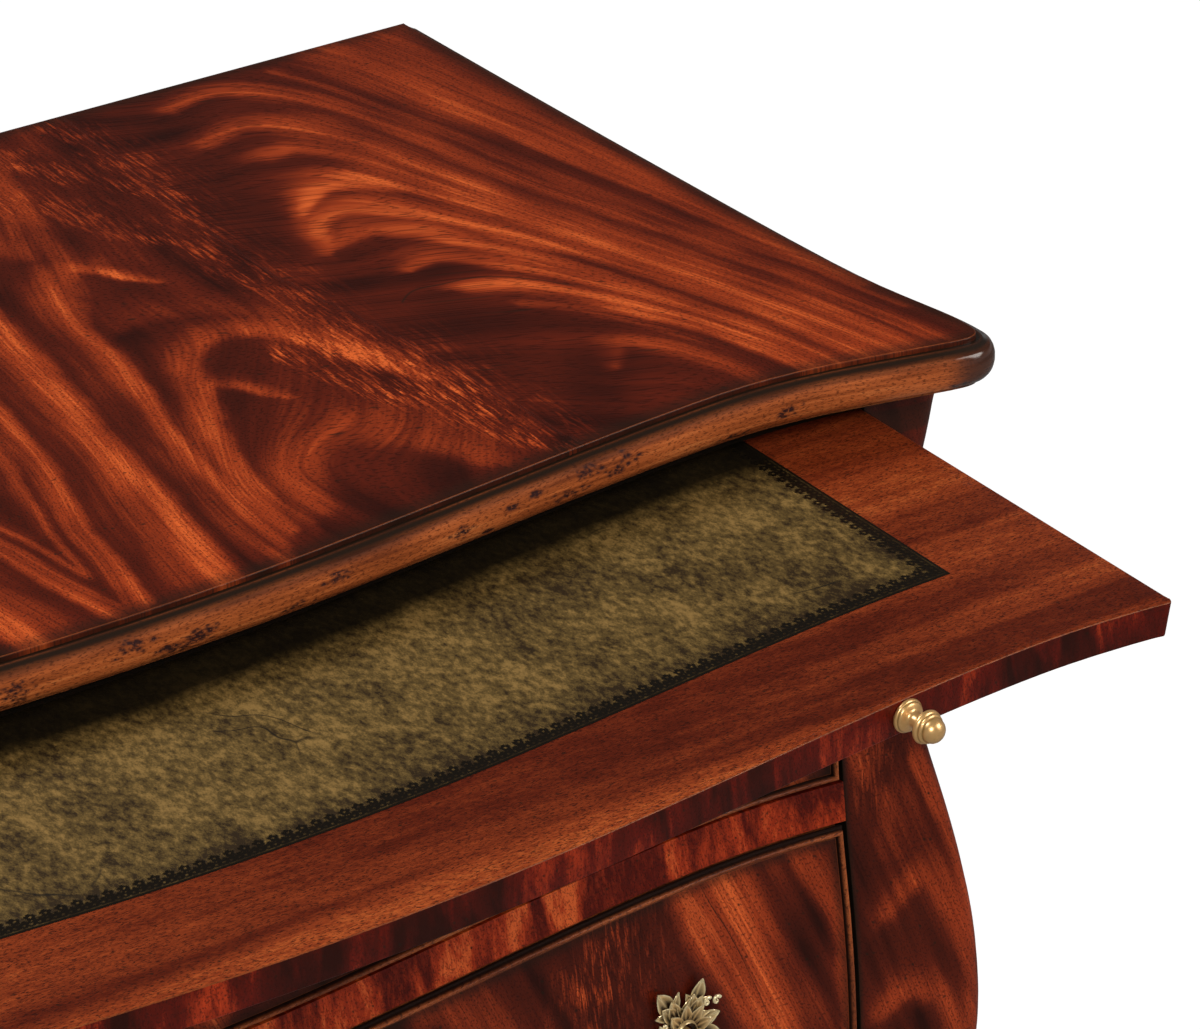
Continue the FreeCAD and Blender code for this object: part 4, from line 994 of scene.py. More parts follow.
def open_path(outline, back):
    """The part of a closed outline that lies in front of a back line, from left to right."""
    start = int(np.argmin(np.where(outline[:, 1] > back, outline[:, 0], 9)))
    line = np.roll(outline, -start, axis=0)
    end = int(np.argmax(np.where(line[:, 1] > back, line[:, 0], -9)))
    return line[:end + 1]


def path_normals(path, reach):
    """Outward normals of an anticlockwise path, smoothed over a short reach."""
    step = unit(np.gradient(path, axis=0))
    normals = np.column_stack([step[:, 1], -step[:, 0]])
    count = 2 * reach + 1
    padded = np.pad(normals, ((reach, reach), (0, 0)), mode="edge")
    return unit(np.stack([np.convolve(padded[:, k], np.ones(count) / count, "valid")
                          for k in (0, 1)], -1))


def age_marks(rng, count, run, width):
    """Worm tracks and dents along a moulding, in clusters: place, half length, half width."""
    middles = np.column_stack([rng.uniform(0, run, count // 22),
                               rng.uniform(0.36, 0.8, count // 22) * width,
                               rng.uniform(0.3, 1.25, count // 22)])
    near = middles[rng.integers(0, len(middles), count)]
    spread = rng.normal(0, 1, (count, 2)) * (4.4 * MM, 1.9 * MM) * near[:, 2:]
    return np.column_stack([near[:, :2] + spread, rng.uniform(0.7, 2.0, count) * MM,
                            rng.uniform(0.5, 1.1, count) * MM, rng.uniform(0.6, 1.0, count)])


DENT_DEPTH = 0.35 * MM


def corner_share(normals, reach):
    """How far each place of a path lies in a sharp corner, softened over a reach."""
    facing = np.unwrap(np.arctan2(normals[:, 1], normals[:, 0]))
    at, last = np.arange(len(facing)), len(facing) - 1
    turn = facing[np.minimum(at + reach, last)] - facing[np.maximum(at - reach, 0)]
    window = np.hanning(2 * reach + 3)
    return np.convolve(np.clip(1.5 * np.abs(turn) - 0.3, 0, 1), window / window.sum(), "same")


def top_moulding(s):
    """The moulding round the top: a quirk, a long nose and a small square under it, with old wax
    and painted shade in the quirk, painted shade on its underside, and marks of age."""
    node = "top_edge_moulding"
    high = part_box("top_panel")[1]
    path = open_path(even(outline_of("top_panel", high.z, 1 * MM), 1.3 * MM, closed=True),
                     high.y - 2 * MM)
    normals = path_normals(path, 3)
    middle = len(path) // 2
    section = even(moulding_section(node, path[middle], normals[middle]), 0.75 * MM)
    run, girth = run_along(path), run_along(section)
    rows, columns = len(path), len(section)
    along, across = np.meshgrid(run, girth, indexing="ij")
    dent = np.zeros((rows, columns))
    rng = np.random.default_rng(s.seed)
    for place, level, half_long, half_wide, depth in age_marks(rng, s.dents, run[-1], girth[-1]):
        near = slice(*np.searchsorted(run, (place - 3 * half_long, place + 3 * half_long)))
        spot = np.exp(-((along[near] - place) / half_long) ** 2
                      - ((across[near] - level) / half_wide) ** 2)
        dent[near] = np.maximum(dent[near], depth * spot)
    tangent = unit(np.gradient(section, axis=0))
    inward = np.column_stack([tangent[:, 1], -tangent[:, 0]])
    inward[[0, -1]] = 0
    out, level = np.moveaxis(section + DENT_DEPTH * dent[..., None] * inward, -1, 0)
    points = np.stack([path[:, None, 0] + normals[:, None, 0] * out,
                       path[:, None, 1] + normals[:, None, 1] * out, level], -1)
    crown, foot = [np.column_stack([path, np.full(rows, section[end, 1])])[:, None]
                   for end in (0, -1)]
    grid = np.concatenate([crown, points, foot], axis=1)
    mesh = new_mesh("top_moulding", grid, rod_faces(rows, columns + 2))
    orient(mesh)

    sides = ((0, 0), (1, 1))
    wide = np.pad(across, sides, mode="edge")
    far = np.pad(along, sides, mode="edge")
    corner = corner_share(normals, int(s.corner_reach / (run[-1] / rows)))[:, None] + 0 * wide
    light = (0.56 + 0.14 * ripple(far / MM, wide / MM, 70, 21)
             + 0.20 * ripple(0.05 * far / MM, wide / MM, 4, 22)
             + 0.34 * np.clip(2 * wide / girth[-1] - 1, -1, 0.4)) * (1 - 0.8 * corner)
    store(mesh, "figure", np.stack([wide, far, np.clip(light, 0, 1)], -1).reshape(-1, 3))
    # Old wax and painted shade reaching from the quirk, with a lighter painted highlight line 2.4 mm into it.
    edge = np.clip(1.9 - 1.9 * wide / s.quirk_reach, 0, 1) ** 0.8
    edge -= 0.4 * np.exp(-((wide - 2.4 * MM) / (0.6 * MM)) ** 2)
    # Painted shade on the underside.
    underside = np.clip((wide - girth[-1] + 3 * MM) / (3 * MM), 0, 1) * 0.6
    dirt_and_shade = np.maximum(np.maximum(edge, underside), 0.66 * corner)
    spots = np.pad(1.5 * dent, sides, mode="edge")
    store(mesh, "wear_and_shade", np.stack([dirt_and_shade, spots, corner], -1).reshape(-1, 3))
    finish_piece(mesh, "case", node, solid_mahogany())


# ---- Case -----------------------------------------------------------------------------
def veneer_leaf(name, body, node, grid, normals, marked, edge, s, border):
    """A thin leaf of veneer over a grid of surface points, its edges rolled down. Its dark
    border is that many times narrower than on the top."""
    figure, marks = marked
    fall = np.clip(1 - edge / s.arris, 0, 1)
    lift = s.leaf_proud - 0.9 * s.leaf_proud * fall ** 2
    mesh = new_mesh(name, grid + normals * lift[..., None], strip_faces(*edge.shape))
    store(mesh, "figure", figure)
    near = edge * border + (s.arris if border > 2 else 0)
    store(mesh, "wear_and_shade", np.column_stack([near.ravel(), marks]))
    finish_piece(mesh, body, node, crotch_mahogany(), replaces=False)
    facing = np.array(mesh.polygons[len(mesh.polygons) // 2].normal)
    if facing @ normals.reshape(-1, 3)[edge.size // 2] < 0:
        mesh.flip_normals()


def surface_normals(grid, sign):
    """Unit normals of a grid of surface points."""
    return unit(np.cross(np.gradient(grid, axis=1), np.gradient(grid, axis=0)) * sign)


def border_distance(up, along):
    """Distance from the nearest side of a grid, from its metres up and its metres along."""
    return np.minimum(np.minimum(up, up[-1] - up)[:, None],
                      np.minimum(along, along[:, -1:] - along))


def spaced(low, high, step, arris):
    """Even steps between two ends, with close ones at the rolled edges."""
    close = np.array([0, 0.25, 0.5, 0.75, 1.0]) * arris
    middle = np.linspace(low + 1.6 * arris, high - 1.6 * arris,
                         max(2, int((high - low) / step)))
    return np.concatenate([low + close, middle, (high - close)[::-1]])


def drawer_front(drawer, case_front, s):
    """A drawer's veneered face inside its cock-bead."""
    node = drawer + "_front"
    low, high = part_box(node)
    inset = s.bead_groove + s.bead_width + s.bead_quirk
    xs = spaced(low.x + inset, high.x - inset, s.leaf_grid, s.arris)
    zs = spaced(low.z + inset, high.z - inset, s.leaf_grid, s.arris)
    x, z = np.meshgrid(xs, zs)
    grid = np.stack([x, case_front.y(x, z), z], -1)
    marked = drawer_figure(x.ravel() / MM, (z.ravel() - (low.z + high.z) / 2) / MM)
    veneer_leaf(drawer + "_veneer", drawer, node, grid, case_front.normal(x, z), marked,
                border_distance(zs - zs[0], x - xs[0]), s, 1.8)


def cock_bead(drawer, case_front, s):
    """The half-round bead let in round a drawer, mitred at its corners."""
    node = drawer + "_bead"
    low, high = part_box(node)
    width, groove, foot = s.bead_width, s.bead_groove, 3 * MM
    corners = np.array([(low.x, low.z), (high.x, low.z), (high.x, high.z), (low.x, high.z)])
    section = [(0.0, -foot), (0.0, -1.2 * MM), (0.5 * groove, -1.4 * MM), (groove, -1.2 * MM)]
    section += [(groove + width * (0.5 - 0.5 * math.cos(a)), s.bead_proud * math.sin(a) ** 0.8)
                for a in np.linspace(0.05, math.pi - 0.05, 13)]
    section += [(groove + width, -foot)]
    # Painted shade in the groove outside the bead and at the foot of its round, where the gap round the drawer
    # lies in shade.
    painted_groove_shade = [1.0] * 4 + [max(0.0, 1 - 3.4 * min(i, 12 - i) / 12) for i in range(13)] + [1.0]
    inward = np.array([(1, 1), (-1, 1), (-1, -1), (1, -1)])
    points, figure, columns = [], [], len(section)
    for i in range(4):
        k = (i + 1) % 4
        side = np.linalg.norm(corners[k] - corners[i])
        for t in np.linspace(0, 1, int(side / (4 * MM)) + 1)[:-1]:
            for inset, rise in section:
                start = corners[i] + inset * inward[i]
                end = corners[k] + inset * inward[k]
                x, z = start + (end - start) * t
                points.append((x, case_front.y(x, z) - rise, z))
                figure.append((inset + i * 0.05, t * side + i * 0.7,
                               0.5 + 0.2 * math.sin(40 * t * side + i)))
    rows = len(points) // columns
    last = (rows - 1) * columns
    faces = strip_faces(rows, columns)
    faces += [(last + j, last + j + 1, j + 1, j) for j in range(columns - 1)]
    mesh = new_mesh(drawer + "_cock_bead", points, faces)
    orient(mesh)
    store(mesh, "figure", figure)
    store(mesh, "wear_and_shade", [(groove_shade, 0.3, 0.1) for _ in range(rows) for groove_shade in painted_groove_shade])
    finish_piece(mesh, drawer, node, solid_mahogany(), 60.0)


def stile_veneer(side, s):
    """The veneer bent round a corner stile, from the drawers to the side."""
    sign = 1 if side == "right" else -1
    node = "stile_" + side
    tree = tree_of(node)
    low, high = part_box(node)
    inner = (low.x if sign > 0 else -high.x) + 0.4 * MM
    levels = spaced(low.z + 0.3 * MM, high.z - 0.3 * MM, 5 * MM, s.arris)
    rows, runs = [], []
    for level in levels:
        centre = Vector((sign * inner, high.y - 0.6 * MM, level))
        hits = []
        for angle in np.linspace(0, QUARTER_TURN, 240):
            out = Vector((sign * math.sin(angle), -math.cos(angle), 0))
            hits.append(tree.ray_cast(centre + out * 0.2, -out, 0.3)[0])
        line = np.array([h for h in hits if h is not None])
        run = run_along(line)
        runs.append(runs[0] * run[-1] / runs[0][-1] if runs
                    else spaced(0, run[-1], 1 * MM, s.arris))
        rows.append(points_at(line, run, runs[-1]))
    grid, runs = np.array(rows), np.array(runs)
    edge = border_distance(levels - levels[0], runs)
    # A painted shadow band 20 to 40 mm under the top: the edge distance is cut there, so the veneer darkens as at
    # its border.
    below_top = (high.z - grid[..., 2]) / MM
    edge *= np.clip(np.minimum(1, np.abs(below_top - 30) / 6 - 1.7), 0.02, 1)
    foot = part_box("drawer_1_front")[0].z
    marked = stile_figure(runs.ravel() / MM, (grid[..., 2].ravel() - foot) / MM)
    veneer_leaf("stile_veneer_" + side, "case", node, grid, surface_normals(grid, sign), marked,
                edge, s, 4.0)


def side_veneer(side, s):
    """The veneered, swelled side."""
    sign = 1 if side == "right" else -1
    node = "side_" + side
    tree = tree_of(node)
    low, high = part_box(node)
    ys, zs = [spaced(a + 0.5 * MM, b - 0.5 * MM, 6 * MM, s.arris)
              for a, b in ((low.y, high.y), (low.z, high.z))]
    y, z = np.meshgrid(ys, zs)
    hits = [tree.ray_cast(Vector((sign, a, b)), Vector((-sign, 0, 0)))[0]
            for a, b in zip(y.ravel(), z.ravel())]
    x = np.reshape([h.x if h is not None else np.nan for h in hits], y.shape)
    for row in x:
        good = ~np.isnan(row)
        row[:] = np.interp(ys, ys[good], row[good])
    grid = np.stack([x, y, z], -1)
    middle = (low.y + high.y) / 2
    marked = crotch_figure(np.abs(y - middle).ravel() / MM + 60, (z.ravel() / MM - 430) * 0.7)
    veneer_leaf("side_veneer_" + side, "case", node, grid, surface_normals(grid, sign), marked,
                border_distance(zs - zs[0], y - ys[0]), s, 1.5)


# ---- Brushing slide ---------------------------------------------------------------------
END_RUBBED = 3.5 * MM           # how much is worn off the lower corners of the slide's ends
END_REACH = 9 * MM
FRONT_BEND = 3.4 * MM           # radius of the upright corners of the slide's front


def eased_end(x, z, low, high):
    """Places across the slide, with the lower corners of its two ends rubbed round."""
    near_end = np.clip(1 - (high.x - np.abs(x)) / END_REACH, 0, 1)
    return x - np.sign(x) * END_RUBBED * near_end * ((high.z - z) / (high.z - low.z)) ** 2


def slide_board(s):
    """The slide's straight-grain board, its arrises eased."""
    low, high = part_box("slide_board")
    outline = outline_of("slide_board", low.z, 4 * MM)
    mesh = flat_board("slide_board_eased", outline, high.z, low.z, s.arris, 12 * MM)
    points = points_of(mesh)
    points[:, 0] = eased_end(points[:, 0], points[:, 2], low, high)
    mesh.vertices.foreach_set("co", points.astype(np.float32).ravel())
    finish_piece(mesh, "brushing_slide", "slide_board", straight_mahogany())


def slide_lipping(s):
    """The cross-banded strip on the slide's serpentine front edge."""
    low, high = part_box("slide_lipping")
    tree = tree_of("slide_lipping")
    level = low.z + 2 * MM
    xs = np.linspace(low.x + 0.1 * MM, high.x - 0.1 * MM, 240)
    bend = FRONT_BEND
    close = bend * (1 - np.cos(np.linspace(0, QUARTER_TURN, 8)[:-1]))
    xs = np.concatenate([xs[0] + close, xs[(xs > xs[0] + bend) & (xs < xs[-1] - bend)],
                         (xs[-1] - close)[::-1]])
    from_end = np.minimum(np.minimum(xs - xs[0], xs[-1] - xs), bend)
    front = np.array([cast(tree, (x, -FAR, level), -OUT).y for x in xs])
    front += bend - np.sqrt(bend ** 2 - (bend - from_end) ** 2)
    back = [cast(tree, (x, 0, level), OUT).y for x in xs]
    r = s.arris
    turns = np.linspace(0, QUARTER_TURN, 5)
    section = [(None, high.z)]
    section += [(r - r * math.sin(a), high.z - r + r * math.cos(a)) for a in turns]
    section += [(r - r * math.cos(a), low.z + r - r * math.sin(a)) for a in turns]
    section += [(None, low.z)]
    grid = np.array([[(x, b if inset is None else f + inset, z) for inset, z in section]
                     for x, f, b in zip(xs, front, back)])
    grid[..., 0] = eased_end(grid[..., 0], grid[..., 2], low, high)
    mesh = new_mesh("slide_lipping_eased", grid, rod_faces(*grid.shape[:2]))
    orient(mesh)
    finish_piece(mesh, "brushing_slide", "slide_lipping", dark_banding())
    mesh.materials.append(straight_mahogany())
    mesh.materials.append(rubbed_highlit_mahogany())
    # Faces of the upper arris take the pale finish: rubbed pale and lightened as a painted highlight.
    for face in mesh.polygons:
        face.material_index = 1 if face.normal.z > 0.88 else 2 if face.normal.z > 0.5 else 0


def stamp(along, inward, pitch):
    """Ink of the tooled border: a fillet line, a row of scallops and a row of florets."""
    u = (np.asarray(along) + pitch / 2) % pitch - pitch / 2
    v = np.asarray(inward)
    ink_and_shadow = v < 1.7
    for turn in range(5):
        angle = math.pi * (0.5 + 0.4 * turn)
        ink_and_shadow |= np.hypot(u - 1.9 * math.cos(angle), v - 9.6 - 1.9 * math.sin(angle)) < 1.25
    ink_and_shadow |= (np.abs(u) < 0.6) & (v > 3) & (v < 9)
    for hand in (-1, 1):
        scallop = np.hypot(u - hand * 2.1, v - 4.4)
        ink_and_shadow |= (scallop < 2.4) & ~(scallop < 0.7)
        ink_and_shadow |= np.hypot(u - hand * pitch / 2, v - 7.2) < 1.2
    soaked = 0.52 + 0.2 * ripple(np.asarray(along), v, 9, 31)
    return np.maximum(ink_and_shadow, np.clip(soaked, 0, 1) * (v < 7.5))


def slide_leather(s):
    """The tooled leather panel, laid 0.3 mm proud of the slide's board, with the top's shadow painted on it."""
    low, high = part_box("slide_leather")
    half = high.x
    top, width = high.z + 0.3 * MM, s.tooling_width
    fine = 0.65 * MM
    knots = np.linspace(-half + 0.1 * MM, half - 0.1 * MM, 41)
    front, eaves = [[cast(tree, (x, -FAR, level), -OUT).y for x in knots] for tree, level in
                    ((tree_of("slide_leather"), (low.z + high.z) / 2),
                     (tree_of("top_edge_moulding"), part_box("top_panel")[0].z))]
    points, ink_and_shadow, wear_and_shade, faces = [], [], [], []

    def edge_y(x):
        return smooth_curve(knots, front, x)

    def grime_and_shadow(x, y):
        """Painted shadow of the top on the leather, in a band along and under the top's edge."""
        gap = (smooth_curve(knots, eaves, x) - y) / MM + 1.6 * ripple(x / MM, y / MM, 60, 41)
        return 0.94 * np.clip((20 - 6 * np.abs(x / half) - gap) / 12, 0, 1)

    def patch(x, y, u, v):
        """Adds a grid of points, from their distances along and in from the border."""
        start = len(points)
        value = stamp(u.ravel() / MM, v.ravel() / MM, s.motif_pitch / MM)
        wear_and_shade.extend(np.exp(-((v.ravel() - width) / (14 * MM)).clip(0)))
        for a, b, press in zip(x.ravel(), y.ravel(), value):
            points.append((a, b, top - s.tooling_depth * 0.5 * press))
        # The dark share also takes the painted shadow along the top's edge.
        ink_and_shadow.extend(np.maximum(value, grime_and_shadow(x.ravel(), y.ravel())))
        faces.extend(strip_faces(*x.shape, start))

    ins = np.arange(0, width + fine / 2, fine)
    across = np.linspace(-1, 1, int(2 * half / fine))
    x = (half - ins)[:, None] * across
    patch(x, edge_y(x) + ins[:, None], x, ins[:, None] + 0 * x)
    patch(x[:, ::-1], high.y - ins[:, None] + 0 * x, x[:, ::-1], ins[:, None] + 0 * x)
    for hand in (-1, 1):
        edge = hand * (half - ins)
        first, last = edge_y(edge) + ins, high.y - ins
        depth = np.linspace(0, 1, int((high.y - float(edge_y(half))) / fine))
        y = first[:, None] + (last - first)[:, None] * depth
        x = edge[:, None] + 0 * y
        v = ins[:, None] + 0 * y
        patch(x[::hand], y[::hand], y[::hand], v[::hand])
    inner = half - ins[-1]
    x = np.linspace(-inner, inner, 200)[None, :] + np.zeros((80, 1))
    first = edge_y(x) + ins[-1]
    y = first + (high.y - ins[-1] - first) * np.linspace(0, 1, 80)[:, None]
    near = np.minimum(half - np.abs(x), np.minimum(y - edge_y(x), high.y - y))
    patch(x, y, x, np.maximum(near, width))
    mesh = new_mesh("slide_leather_tooled", points, faces)
    store(mesh, "tooling_and_shadow", ink_and_shadow)
    store(mesh, "wear_and_shade", wear_and_shade)
    orient(mesh, up=True)
    finish_piece(mesh, "brushing_slide", "slide_leather", tooled_leather())


# ---- Brass ------------------------------------------------------------------------------
def islands(node):
    """The loose parts of a CAD node, each as an array of its points."""
    shape = bmesh.new()
    shape.from_mesh(NODES[node].data)
    bmesh.ops.remove_doubles(shape, verts=shape.verts, dist=1e-6)
    left, parts = dict.fromkeys(shape.verts), []
    while left:
        front, part = [left.popitem()[0]], []
        while front:
            vert = front.pop()
            part.append(tuple(vert.co))
            for link in vert.link_edges:
                other = link.other_vert(vert)
                if other in left:
                    del left[other]
                    front.append(other)
        parts.append(np.array(part))
    shape.free()
    return parts


def leaflet(reach, width, cup, curl, rows=15, columns=11):
    """One pointed blade of an acanthus leaf, lying along +X: hollow, with raised edges, a
    rib and a curled tip. Returns its points, faces and how deep each lies in a recess."""
    t = np.linspace(0, 1, rows)[:, None]
    u = np.linspace(-1, 1, columns)[None, :]
    body = np.sin(math.pi * t ** 0.8) ** 0.8
    half = width * (0.3 * (1 - t) ** 2 + body)
    rib = np.exp(-(u / 0.2) ** 2)
    edge = np.abs(u) ** 1.8
    z = (cup * edge * body + 0.5 * cup * rib * (1 - t) + curl * t ** 2
         - 0.35 * cup * (np.abs(u) > 0.95))
    deep = np.clip(0.7 * (1 - edge) * body * (1 - 0.8 * rib) + 1.1 * (1 - t) ** 2.2, 0, 1)
    points = np.stack([reach * t + 0 * u, half * u, z], -1).reshape(-1, 3)
    return points, strip_faces(rows, columns), deep.reshape(-1)


def acanthus(reach, blades):
    """A cast acanthus leaf along +X: blades in pairs up its stem, and one at its tip. Each
    blade is its place on the stem, its angle and its length, all as shares or degrees."""
    parts = []
    for i, (place, angle, share) in enumerate(blades):
        size = share * reach
        points, faces, deep = leaflet(size, (0.2 + 0.1 * (abs(angle) < 20)) * size,
                                      2.1 * MM, 3.2 * MM)
        points[:, 2] += (0.4 + 0.25 * i) * MM
        points = turned_about_z(points, angle)
        points[:, 0] += place * reach
        parts.append((points, faces, np.minimum(deep + 0.3 * (i < 2) * (1 - share), 1)))
    return joined(parts)


def lathe(profile, count=40):
    """A turned shape about +X from (x, radius) pairs."""
    points = [(x, r * math.cos(a), r * math.sin(a)) for x, r in profile
              for a in np.linspace(0, 2 * math.pi, count, endpoint=False)]
    faces = strip_faces(len(profile), count, around=True)
    return np.array(points), faces


def scroll(radius, turns, wire):
    """A small volute, flat on the plate, thinning to its eye."""
    around = np.linspace(0, 2 * math.pi * turns, 46)
    grow = radius * (1 - around / (around[-1] * 1.12))
    points, ring = [], np.linspace(0, 2 * math.pi, 9)[:-1]
    for a, r in zip(around, grow):
        thick = wire * (0.45 + 0.55 * r / radius)
        for b in ring:
            reach = r + thick * math.cos(b)
            points.append((reach * math.cos(a), reach * math.sin(a), thick * (0.6 + math.sin(b))))
    return np.array(points), strip_faces(len(around), 8, around=True), np.zeros(len(points))


def turned_about_z(points, degrees):
    angle = math.radians(degrees)
    cos, sin = math.cos(angle), math.sin(angle)
    return points @ np.array([[cos, sin, 0], [-sin, cos, 0], [0, 0, 1]])


# The leaves of a rosette: angle, reach as a share of the longest, then the blades.
FULL_LEAF = ((0.18, 62, 0.46), (0.18, -62, 0.46), (0.42, 48, 0.40), (0.42, -50, 0.42),
             (0.30, 14, 0.42), (0.30, -16, 0.40), (0.52, 0, 0.50))
SHORT_LEAF = ((0.20, 55, 0.50), (0.20, -55, 0.50), (0.35, 0, 0.65))
ROSETTE_LEAVES = ((122, 1.0, FULL_LEAF), (66, 0.88, FULL_LEAF), (12, 0.66, SHORT_LEAF),
                  (-22, 0.72, SHORT_LEAF), (-66, 0.84, FULL_LEAF), (-118, 0.9, FULL_LEAF),
                  (170, 0.66, SHORT_LEAF), (205, 0.62, SHORT_LEAF))
# Its scrolls: angle, and place as a share of the reach.
ROSETTE_SCROLLS = ((40, 0.60), (28, 0.74), (150, 0.52), (-40, 0.60), (-152, 0.58))
# Height and radius of the boss in the rosette's middle, in millimetres.
ROSETTE_BOSS = ((0, 9), (1.5, 9.5), (2.4, 8.8), (2.8, 7.4), (4.2, 6.8), (4.8, 6.0))


def rosette(s):
    """One cast rosette in its own plane, +Z towards the eye: full acanthus leaves over
    shorter ones, five scrolls and a stepped boss."""
    reach, parts = s.rosette_reach, []

    def add(shape, angle, out, up):
        points, faces, deep = shape
        parts.append((turned_about_z(points + (out, 0, up), angle), faces, deep))

    for angle, share, blades in ROSETTE_LEAVES:
        add(acanthus(reach * share, blades), angle, 1.5 * MM, 0)
    for i in range(9):
        add(leaflet(reach * 0.42, 3.6 * MM, 1.3 * MM, 3.4 * MM), 10 + 40 * i, 4 * MM, 2.4 * MM)
    for angle, place in ROSETTE_SCROLLS:
        add(scroll(2.7 * MM, 1.1, 1.2 * MM), angle, reach * place, 2.6 * MM)
    points, faces = lathe([(x * MM, r * MM) for x, r in ROSETTE_BOSS])
    parts.append((points[:, [1, 2, 0]], faces, np.full(len(points), 0.55)))
    return joined(parts)


def joined(parts):
    """The points, faces and depths of several shapes as one."""
    faces, start = [], 0
    for points, part_faces, _ in parts:
        faces += [[start + i for i in f] for f in part_faces]
        start += len(points)
    return np.vstack([p[0] for p in parts]), faces, np.concatenate([p[2] for p in parts])


# Turned profile of a slide knob: shares of its reach, then of its radius.
KNOB_PROFILE = (
    (0.0, 0.93), (0.025, 1.0), (0.065, 1.0), (0.09, 0.95), (0.1, 0.9), (0.115, 0.9), (0.14, 0.86),
    (0.165, 0.78), (0.18, 0.6), (0.21, 0.47), (0.28, 0.42), (0.40, 0.42), (0.46, 0.47),
    (0.5, 0.6), (0.515, 0.82), (0.54, 0.95), (0.58, 1.0), (0.62, 0.98), (0.65, 0.91),
    (0.66, 0.86), (0.675, 0.86), (0.69, 0.88), (0.715, 0.86), (0.735, 0.79), (0.74, 0.73),
    (0.755, 0.73), (0.80, 0.73), (0.86, 0.67), (0.91, 0.57), (0.95, 0.44), (0.98, 0.27),
    (0.995, 0.12), (1.0, 0.0))
# Where its rings meet, as shares of its reach: tarnish and old wax lie there.
KNOB_CORNERS = ((0.09, 0.12), (0.655, 0.68), (0.735, 0.76))


def slide_knob(side, s):
    """A turned brass knob of the slide: a stepped rose, a neck and a ringed, domed head."""
    node = "slide_knob_" + side
    lipping = tree_of("slide_lipping")
    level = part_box("slide_lipping")[0].z + 2 * MM
    knob = points_of(NODES[node].data)
    middle = (knob[:, 0].min() + knob[:, 0].max()) / 2
    left, right = [cast(lipping, (middle + d, -FAR, level), -OUT) for d in (-8 * MM, 8 * MM)]
    over = Vector((right.x - left.x, right.y - left.y, 0)).normalized()
    out, over = np.array((over.y, -over.x, 0)), np.array(over)
    height = (knob[:, 2].min() + knob[:, 2].max()) / 2
    radius = (knob[:, 2].max() - knob[:, 2].min()) / 2
    along, across = knob @ out, knob @ over
    middle = (across.min() + across.max()) / 2
    wide = np.hypot(across - middle, knob[:, 2] - height)
    seat, shank = along[wide > 0.95 * radius].min(), wide[along < along.min() + MM].max()
    reach = along.max() - seat
    profile = [(along.min(), 0.0), (along.min(), shank), (seat, shank)]
    profile += [(seat + a * reach, b * radius) for a, b in KNOB_PROFILE]
    points, faces = lathe(profile, 56)
    mesh = new_mesh(node + "_turned", points[:, :1] * out + (middle + points[:, 1:2]) * over
                    + (height + points[:, 2:]) * np.array((0, 0, 1)), faces)
    shares = (points[:, 0] - seat) / reach
    store(mesh, "recess", sum(0.4 * ((shares > a) & (shares < b)) for a, b in KNOB_CORNERS))
    orient(mesh)
    finish_piece(mesh, "brushing_slide", node, turned_brass(), 60.0)


def drawer_handles(drawer, case_front, s):
    """The four leafy rosettes of a drawer, bent to its swelled face."""
    node = drawer + "_rosettes"
    points, faces, deep = rosette(s)
    parts = []
    for plate in islands(node):
        centre = (plate.min(0) + plate.max(0)) / 2
        side = "right" if centre[0] > 0 else "left"
        across = -Vector(JOINTS["%s_bail_%s_swing" % (drawer, side)]["axis"])
        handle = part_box("%s_bail_%s" % (drawer, side))
        hand = 1 if centre[0] > (handle[0].x + handle[1].x) / 2 else -1
        x = centre[0] + points[:, 0] * across.x * hand
        z = centre[2] + points[:, 1]
        on_face = np.column_stack([x, case_front.y(x, z), z])
        lift = case_front.normal(x, z) * (points[:, 2:] + 0.2 * MM)
        parts.append((on_face + lift, faces, deep))
    points, faces, deep = joined(parts)
    mesh = new_mesh(drawer + "_rosette_leaves", points, faces)
    store(mesh, "recess", deep)
    orient(mesh)
    finish_piece(mesh, drawer, node, cast_brass(), 50.0)


# ---- Stage ------------------------------------------------------------------------------
# The camera: where it stands, its turns in degrees, and its lens in millimetres.
CAMERA_PLACE = (-1.01543, -1.97483, 2.05435)
CAMERA_TURNS = (61.30, 0, -35.14)
CAMERA_LENS = 149.85
CAMERA_SENSOR = 36
AIM = Vector((0, 0, 0.6))       # where the lamps point
FLOOR_RADIUS = 12.0
FLOOR_LEVEL = -0.3 * MM


def area_light(name, place, size, watts, shade="ffffff"):
    data = bpy.data.lights.new(name, "AREA")
    data.shape, data.size, data.energy = "DISK", size, watts
    data.color = linear(shade)[:3]
    lamp = add_object(name, data)
    lamp.location = place
    lamp.rotation_euler = (AIM - Vector(place)).to_track_quat("-Z", "Y").to_euler()


def studio_air(s):
    """Pale surroundings: white to the eye, and dim and darker upward to the surfaces."""
    world = bpy.data.worlds.new("studio_air")
    world.use_nodes = True
    tree = world.node_tree
    tree.nodes.clear()
    aim = add_node(tree, "ShaderNodeTexCoord").outputs["Generated"]
    up = add_node(tree, "ShaderNodeSeparateXYZ", {0: aim}).outputs[2]
    path = add_node(tree, "ShaderNodeLightPath").outputs
    seen = sums(tree, "MAXIMUM", path["Is Camera Ray"], path["Is Transmission Ray"])
    mirrored = add_node(tree, "ShaderNodeMix", {0: path["Is Glossy Ray"], 2: s.air,
                                                3: ranged(tree, up, 0.1, 0.3, 0.32, s.air * 0.4)})
    strength = add_node(tree, "ShaderNodeMix", {0: seen, 2: mirrored.outputs[0], 3: 1.0})
    air = add_node(tree, "ShaderNodeBackground", {"Color": (1, 1, 1, 1),
                                                  "Strength": strength.outputs[0]})
    add_node(tree, "ShaderNodeOutputWorld", {"Surface": air.outputs[0]})
    return world


